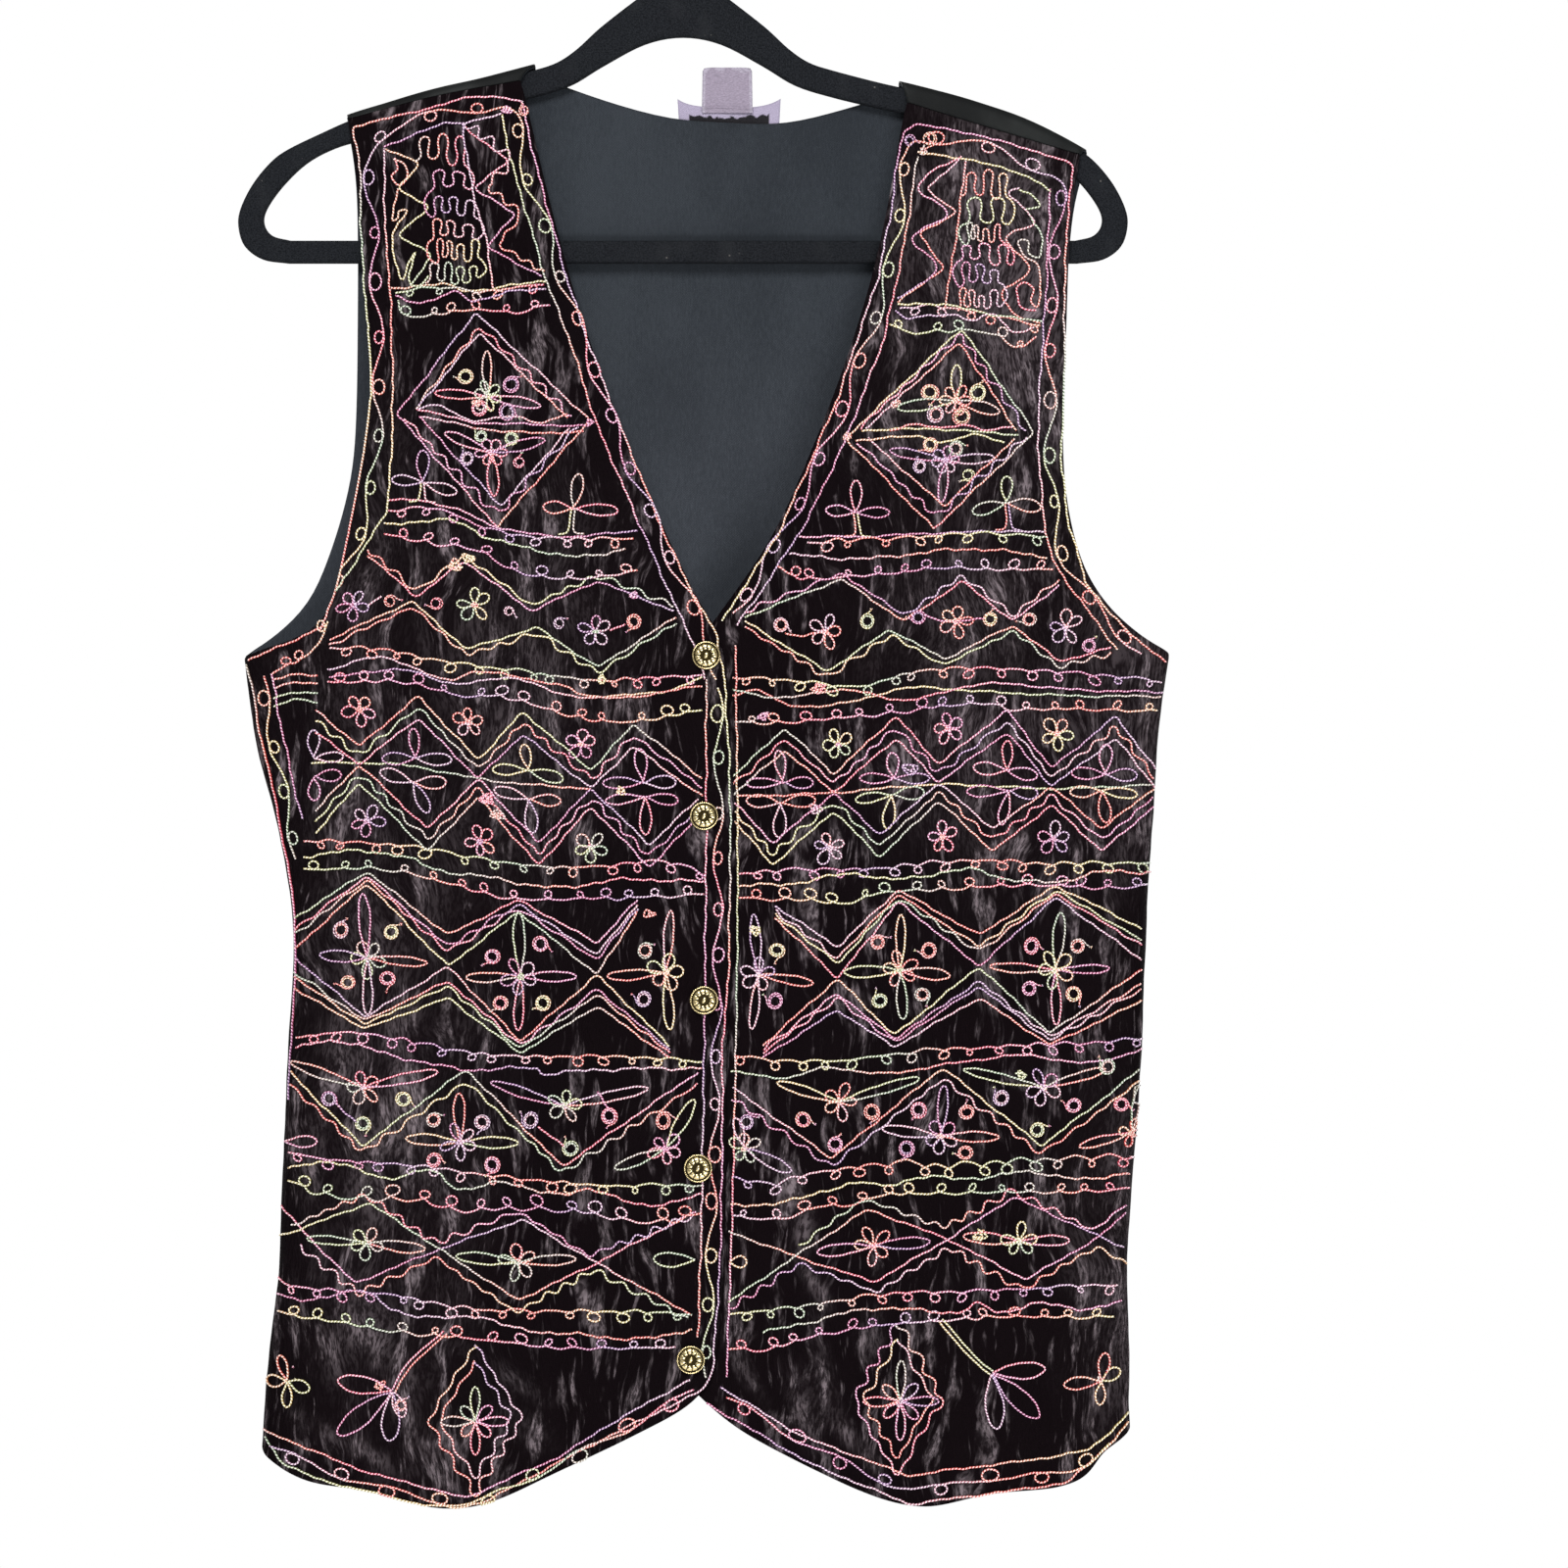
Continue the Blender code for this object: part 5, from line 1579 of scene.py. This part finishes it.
def button_mesh(name, low, high):
    """A domed shank button: rope rim, a ring of lobes and a raised plain oval."""
    turned_part = bmesh.new()
    dark = turned_part.verts.layers.float.new("hollow")
    chain = []
    for radius, rise, hollow in BUTTON_PROFILE:
        vertex = turned_part.verts.new((radius, 0, rise))
        vertex[dark] = hollow
        chain.append(vertex)
    edges = [turned_part.edges.new(pair) for pair in zip(chain, chain[1:])]
    bmesh.ops.spin(
        turned_part,
        geom=chain + edges,
        cent=(0, 0, 0),
        axis=(0, 0, 1),
        angle=FULL_TURN,
        steps=BUTTON_STEPS,
        use_merge=True,
    )
    bmesh.ops.remove_doubles(turned_part, verts=turned_part.verts, dist=0.004)
    for vertex in turned_part.verts:
        radius = math.hypot(vertex.co.x, vertex.co.y)
        angle = math.atan2(vertex.co.y, vertex.co.x)
        if vertex.co.z > 2 and 2.4 < radius < 5.75:
            narrow = 0.22 + 0.55 * smooth_step((4.9 - radius) / 2.0)
            groove = 1 - abs(math.cos(LOBES / 2 * angle)) ** narrow
            vertex.co.z -= LOBE_DEPTH * groove * bump(radius - 4.1, 1.5)
            vertex[dark] = max(vertex[dark], min(1.0, 1.5 * groove))
        if vertex.co.z > 1.6 and radius > 6.2:
            rope = math.cos(ROPE_TURNS * angle + 5.0 * (radius - 6.5))
            vertex.co.z += ROPE_DEPTH * rope
            vertex[dark] = max(vertex[dark], 0.75 * max(0.0, -rope))
    tilt = Matrix.Rotation(math.radians(-24), 4, "Z")
    shape = tilt @ Matrix.Translation((0, 0, 2.72)) @ Matrix.Diagonal((0.95, 1.75, 0.75, 1))
    bmesh.ops.create_uvsphere(turned_part, u_segments=32, v_segments=16, radius=1, matrix=shape)
    bmesh.ops.recalc_face_normals(turned_part, faces=turned_part.faces)
    place = Matrix.Translation(((low.x + high.x) / 2, high.y + 0.25 * MM, (low.z + high.z) / 2))
    turn = Matrix.Rotation(math.radians(90), 4, "X")
    bmesh.ops.transform(turned_part, matrix=place @ turn @ Matrix.Scale(MM, 4), verts=turned_part.verts)
    mesh = bpy.data.meshes.new(name)
    turned_part.to_mesh(mesh)
    turned_part.free()
    mesh.shade_smooth()
    return mesh


def make_buttons():
    """A gilt button in the place of each CAD one."""
    look = gilt()
    for number in range(1, 6):
        node = f"button_{number}"
        add_piece(f"gilt_{node}", button_mesh(f"gilt_{node}", *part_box(node)), look, "gilt", node)


def label_mesh(name, across, down, shape):
    """A grid bent to the shape, which takes shares across and down."""
    sheet = bmesh.new()
    bmesh.ops.create_grid(sheet, x_segments=across, y_segments=down, size=1)
    layer = sheet.loops.layers.uv.new("label")
    marks = {}
    for vertex in sheet.verts:
        u, v = (vertex.co.x + 1) / 2, (vertex.co.y + 1) / 2
        marks[vertex] = (u, v)
        vertex.co = Vector(shape(u, v)) * MM
    for face in sheet.faces:
        for loop in face.loops:
            loop[layer].uv = marks[loop.vert]
    bmesh.ops.recalc_face_normals(sheet, faces=sheet.faces)
    if sum(face.normal.y for face in sheet.faces) > 0:
        bmesh.ops.reverse_faces(sheet, faces=sheet.faces)
    mesh = bpy.data.meshes.new(name)
    sheet.to_mesh(mesh)
    sheet.free()
    mesh.shade_smooth()
    return mesh


NECK_LABEL_TABLE = ((-2, -163.5), (8, -165.0), (23, -166.0), (38, -165.5), (48, -164.5))


def neck_label_shape(u, v):
    """Stands up from the neck seam, its corners bent forward and up."""
    x = -2 + 50 * u
    foot = np.interp(x, [p[0] for p in NECK_LABEL_TABLE], [p[1] for p in NECK_LABEL_TABLE])
    corner = abs(2 * u - 1) ** 5
    top = -153.6 + 4.0 * corner + 0.35 * math.sin(9 * u)
    y = 4.2 + 0.9 * smooth_step(v / 0.5) - 1.3 * corner * v + 0.25 * math.sin(11 * u + 1) * v
    return x + (0.8 * (2 * u - 1)) * corner * v, y, foot + (top - foot) * v


def care_label_shape(u, v):
    """A ribbon doubled at its foot, with a ridge where it was folded."""
    z = -156.5 + 23.0 * v
    ridge = bump(z + 153.9 - 0.3 * math.sin(5 * u), 0.7)
    crinkle = 0.35 * bump(math.hypot((u - 0.2) * 25, (v - 0.86) * 23), 3.0)
    lean = 1.2 * smooth_step((z + 150.5) / 17.0)
    y = 3.9 + lean - 0.9 * ridge - 1.6 * crinkle + 0.25 * math.sin(3.2 * u + 0.5)
    rounded = (1 - 0.03 * v) * (1 - 0.06 * smooth_step((v - 0.93) / 0.07))
    return 22.05 + (u - 0.5) * 25.5 * rounded, y, z - 0.5 * v * (2 * u - 1) ** 6


def make_labels():
    """The bare label on the neck seam and the ribbon that stands above it."""
    black = label_satin("label_weave", (0.26, 0.23, 0.31), (0.0040, 0.0034, 0.0050), 0.80, 0.60, 0.02)
    lilac = label_satin("care_ribbon", (0.30, 0.27, 0.33), (0.23, 0.195, 0.25), 0.88, 0.94, 0.35)
    weave = label_mesh("neck_label_weave", 40, 10, neck_label_shape)
    neck = add_piece("neck_label_weave", weave, black, "label_weave", "neck_label")
    thickness(neck, 0.45)
    ribbon = label_mesh("care_label_ribbon", 24, 48, care_label_shape)
    care = add_piece("care_label_ribbon", ribbon, lilac, "care_ribbon", "care_label")
    thickness(care, 0.3)


# The hanger. Each outline is its left half, across and height, mirrored about the hook.
HANGER_THICKNESS = 5.5
HANGER_ROUNDING = 1.7
HANGER_OUTER = (
    (0, -90.5), (13, -93.5), (23, -100.5), (41, -114.5), (53, -125.5), (63, -132.2), (75, -136.2),
    (98, -142.2), (120, -147.2), (140, -152.9), (158, -158.2), (168, -161.8), (180, -167.2), (197, -175.4),
    (206, -182.0), (215, -193.0), (221, -205.0), (222.2, -214.0), (219, -224.0), (210, -230.5), (197, -232.5),
)
HANGER_INNER = (
    (0, -119.5), (19, -123.0), (40, -134.0), (56, -143.5), (75, -149.5), (98, -155.0), (120, -160.0),
    (140, -165.5), (158, -170.3), (174, -175.0), (188, -182.5), (200, -194.0), (208, -205.5),
    (209.2, -213.0), (205, -218.8), (196, -221.2),
)


def hanger_mesh():
    """The board as one flat outline with rounded edges, set upright."""
    outline = bpy.data.curves.new("hanger_board", "CURVE")
    outline.dimensions = "2D"
    outline.fill_mode = "BOTH"
    outline.extrude = (HANGER_THICKNESS / 2 - HANGER_ROUNDING) * MM
    outline.bevel_depth = HANGER_ROUNDING * MM
    outline.bevel_resolution = 4
    outline.offset = -HANGER_ROUNDING * MM
    for half in (HANGER_OUTER, HANGER_INNER):
        ring = [(-x, z) for x, z in reversed(half) if x > 0] + list(half)
        line = flowing(ring, 5)
        spline = outline.splines.new("POLY")
        spline.points.add(len(line) - 1)
        for target, (x, z) in zip(spline.points, line):
            target.co = (x * MM, z * MM, 0, 1)
        spline.use_cyclic_u = True
    flat = bpy.data.objects.new("hanger_board", outline)
    bpy.context.scene.collection.objects.link(flat)
    graph = bpy.context.evaluated_depsgraph_get()
    mesh = bpy.data.meshes.new_from_object(flat.evaluated_get(graph))
    bpy.data.objects.remove(flat)
    board = bmesh.new()
    board.from_mesh(mesh)
    bmesh.ops.remove_doubles(board, verts=board.verts, dist=WELD)
    bmesh.ops.transform(board, matrix=Matrix.Rotation(math.pi / 2, 4, "X"), verts=board.verts)
    bmesh.ops.recalc_face_normals(board, faces=board.faces)
    board.to_mesh(mesh)
    board.free()
    mesh.shade_smooth()
    mesh.set_sharp_from_angle(angle=math.radians(40))
    return mesh


def make_hanger():
    """The flocked board in its CAD node's place, and the CAD hook made smooth and bright."""
    add_piece("flocked_board", hanger_mesh(), flock(), "hanger_flock", "hanger")
    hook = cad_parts["hook"]
    weld = hook.modifiers.new("weld", "WELD")
    weld.merge_threshold = WELD
    rounds = hook.modifiers.new("rounds", "SUBSURF")
    rounds.levels = rounds.render_levels = 2
    look = wire()
    for slot in hook.material_slots:
        slot.link = "OBJECT"
        slot.material = look


# Studio.

CAMERA_ACROSS = 50.5
CAMERA_HEIGHT = -492.7
CAMERA_AWAY = 2000.0
FRAME_WIDTH = 784.0
FLOOR_HEIGHT = -1.32
FLOOR_RADIUS = 1.6
ROOM_LIGHT = 0.38
SENSOR_WIDTH = 36.0
NEAR, FAR = 0.05, 50.0
LAMPS_AIM = (0.01, 0, -0.5)
LAMPS = (
    # name, place, size and power
    ("key", (-0.4, -2.6, 1.5), 1.1, 118),
    ("fill", (0.6, -1.5, -1.6), 1.3, 76),
    ("behind_left", (-1.8, 2.4, 0.2), 1.2, 60),
    ("behind_right", (1.8, 2.4, 0.2), 1.2, 60),
)


def pale_floor():
    """A plain round floor well under the vest."""
    disc = bmesh.new()
    bmesh.ops.create_circle(disc, cap_ends=True, segments=96, radius=FLOOR_RADIUS)
    bmesh.ops.translate(disc, verts=disc.verts, vec=(0, 0, FLOOR_HEIGHT))
    mesh = bpy.data.meshes.new("pale_floor")
    disc.to_mesh(mesh)
    disc.free()
    look, tree, shader = finish("pale_paper")
    grain = noisy(tree, stretched(tree, (30, 30, 30)), 3.0)
    colour = blend_colours(tree, grain, (0.90, 0.90, 0.90, 1), (0.94, 0.94, 0.94, 1))
    feed(tree, shader, {"Base Color": colour, "Roughness": 0.9, "Specular IOR Level": 0.1})
    mesh.materials.append(look)
    floor = bpy.data.objects.new("pale_floor", mesh)
    bpy.context.scene.collection.objects.link(floor)


def soft_light(name, place, size, power):
    """A square lamp turned towards the vest."""
    data = bpy.data.lights.new(name, "AREA")
    data.size = size
    data.energy = power
    lamp = bpy.data.objects.new(name, data)
    lamp.location = place
    lamp.rotation_euler = (Vector(LAMPS_AIM) - Vector(place)).to_track_quat("-Z", "Y").to_euler()
    bpy.context.scene.collection.objects.link(lamp)


def studio():
    """Floor, lamps and camera, in a room that is white to the camera and dimmer as light."""
    pale_floor()
    world = bpy.data.worlds.new("soft_room")
    world.use_nodes = True
    room = world.node_tree
    seen = put(room, "ShaderNodeLightPath").outputs["Is Camera Ray"]
    strength = sums(room, "MULTIPLY_ADD", seen, 1.0 - ROOM_LIGHT, ROOM_LIGHT)
    room.nodes["Background"].inputs["Color"].default_value = (1, 1, 1, 1)
    room.links.new(strength, room.nodes["Background"].inputs["Strength"])
    bpy.context.scene.world = world
    bpy.context.scene.view_settings.view_transform = "Standard"
    for name, place, size, power in LAMPS:
        soft_light(name, place, size, power)
    data = bpy.data.cameras.new("camera")
    data.sensor_width = SENSOR_WIDTH
    data.lens = SENSOR_WIDTH * CAMERA_AWAY / FRAME_WIDTH
    data.clip_start, data.clip_end = NEAR, FAR
    camera = bpy.data.objects.new("camera", data)
    camera.location = (CAMERA_ACROSS * MM, -CAMERA_AWAY * MM, CAMERA_HEIGHT * MM)
    camera.rotation_euler = (math.pi / 2, 0, 0)
    bpy.context.scene.collection.objects.link(camera)
    bpy.context.scene.camera = camera


make_hanger()
cloths = make_cloth()
make_embroidery(cloths)
make_buttons()
make_labels()
studio()
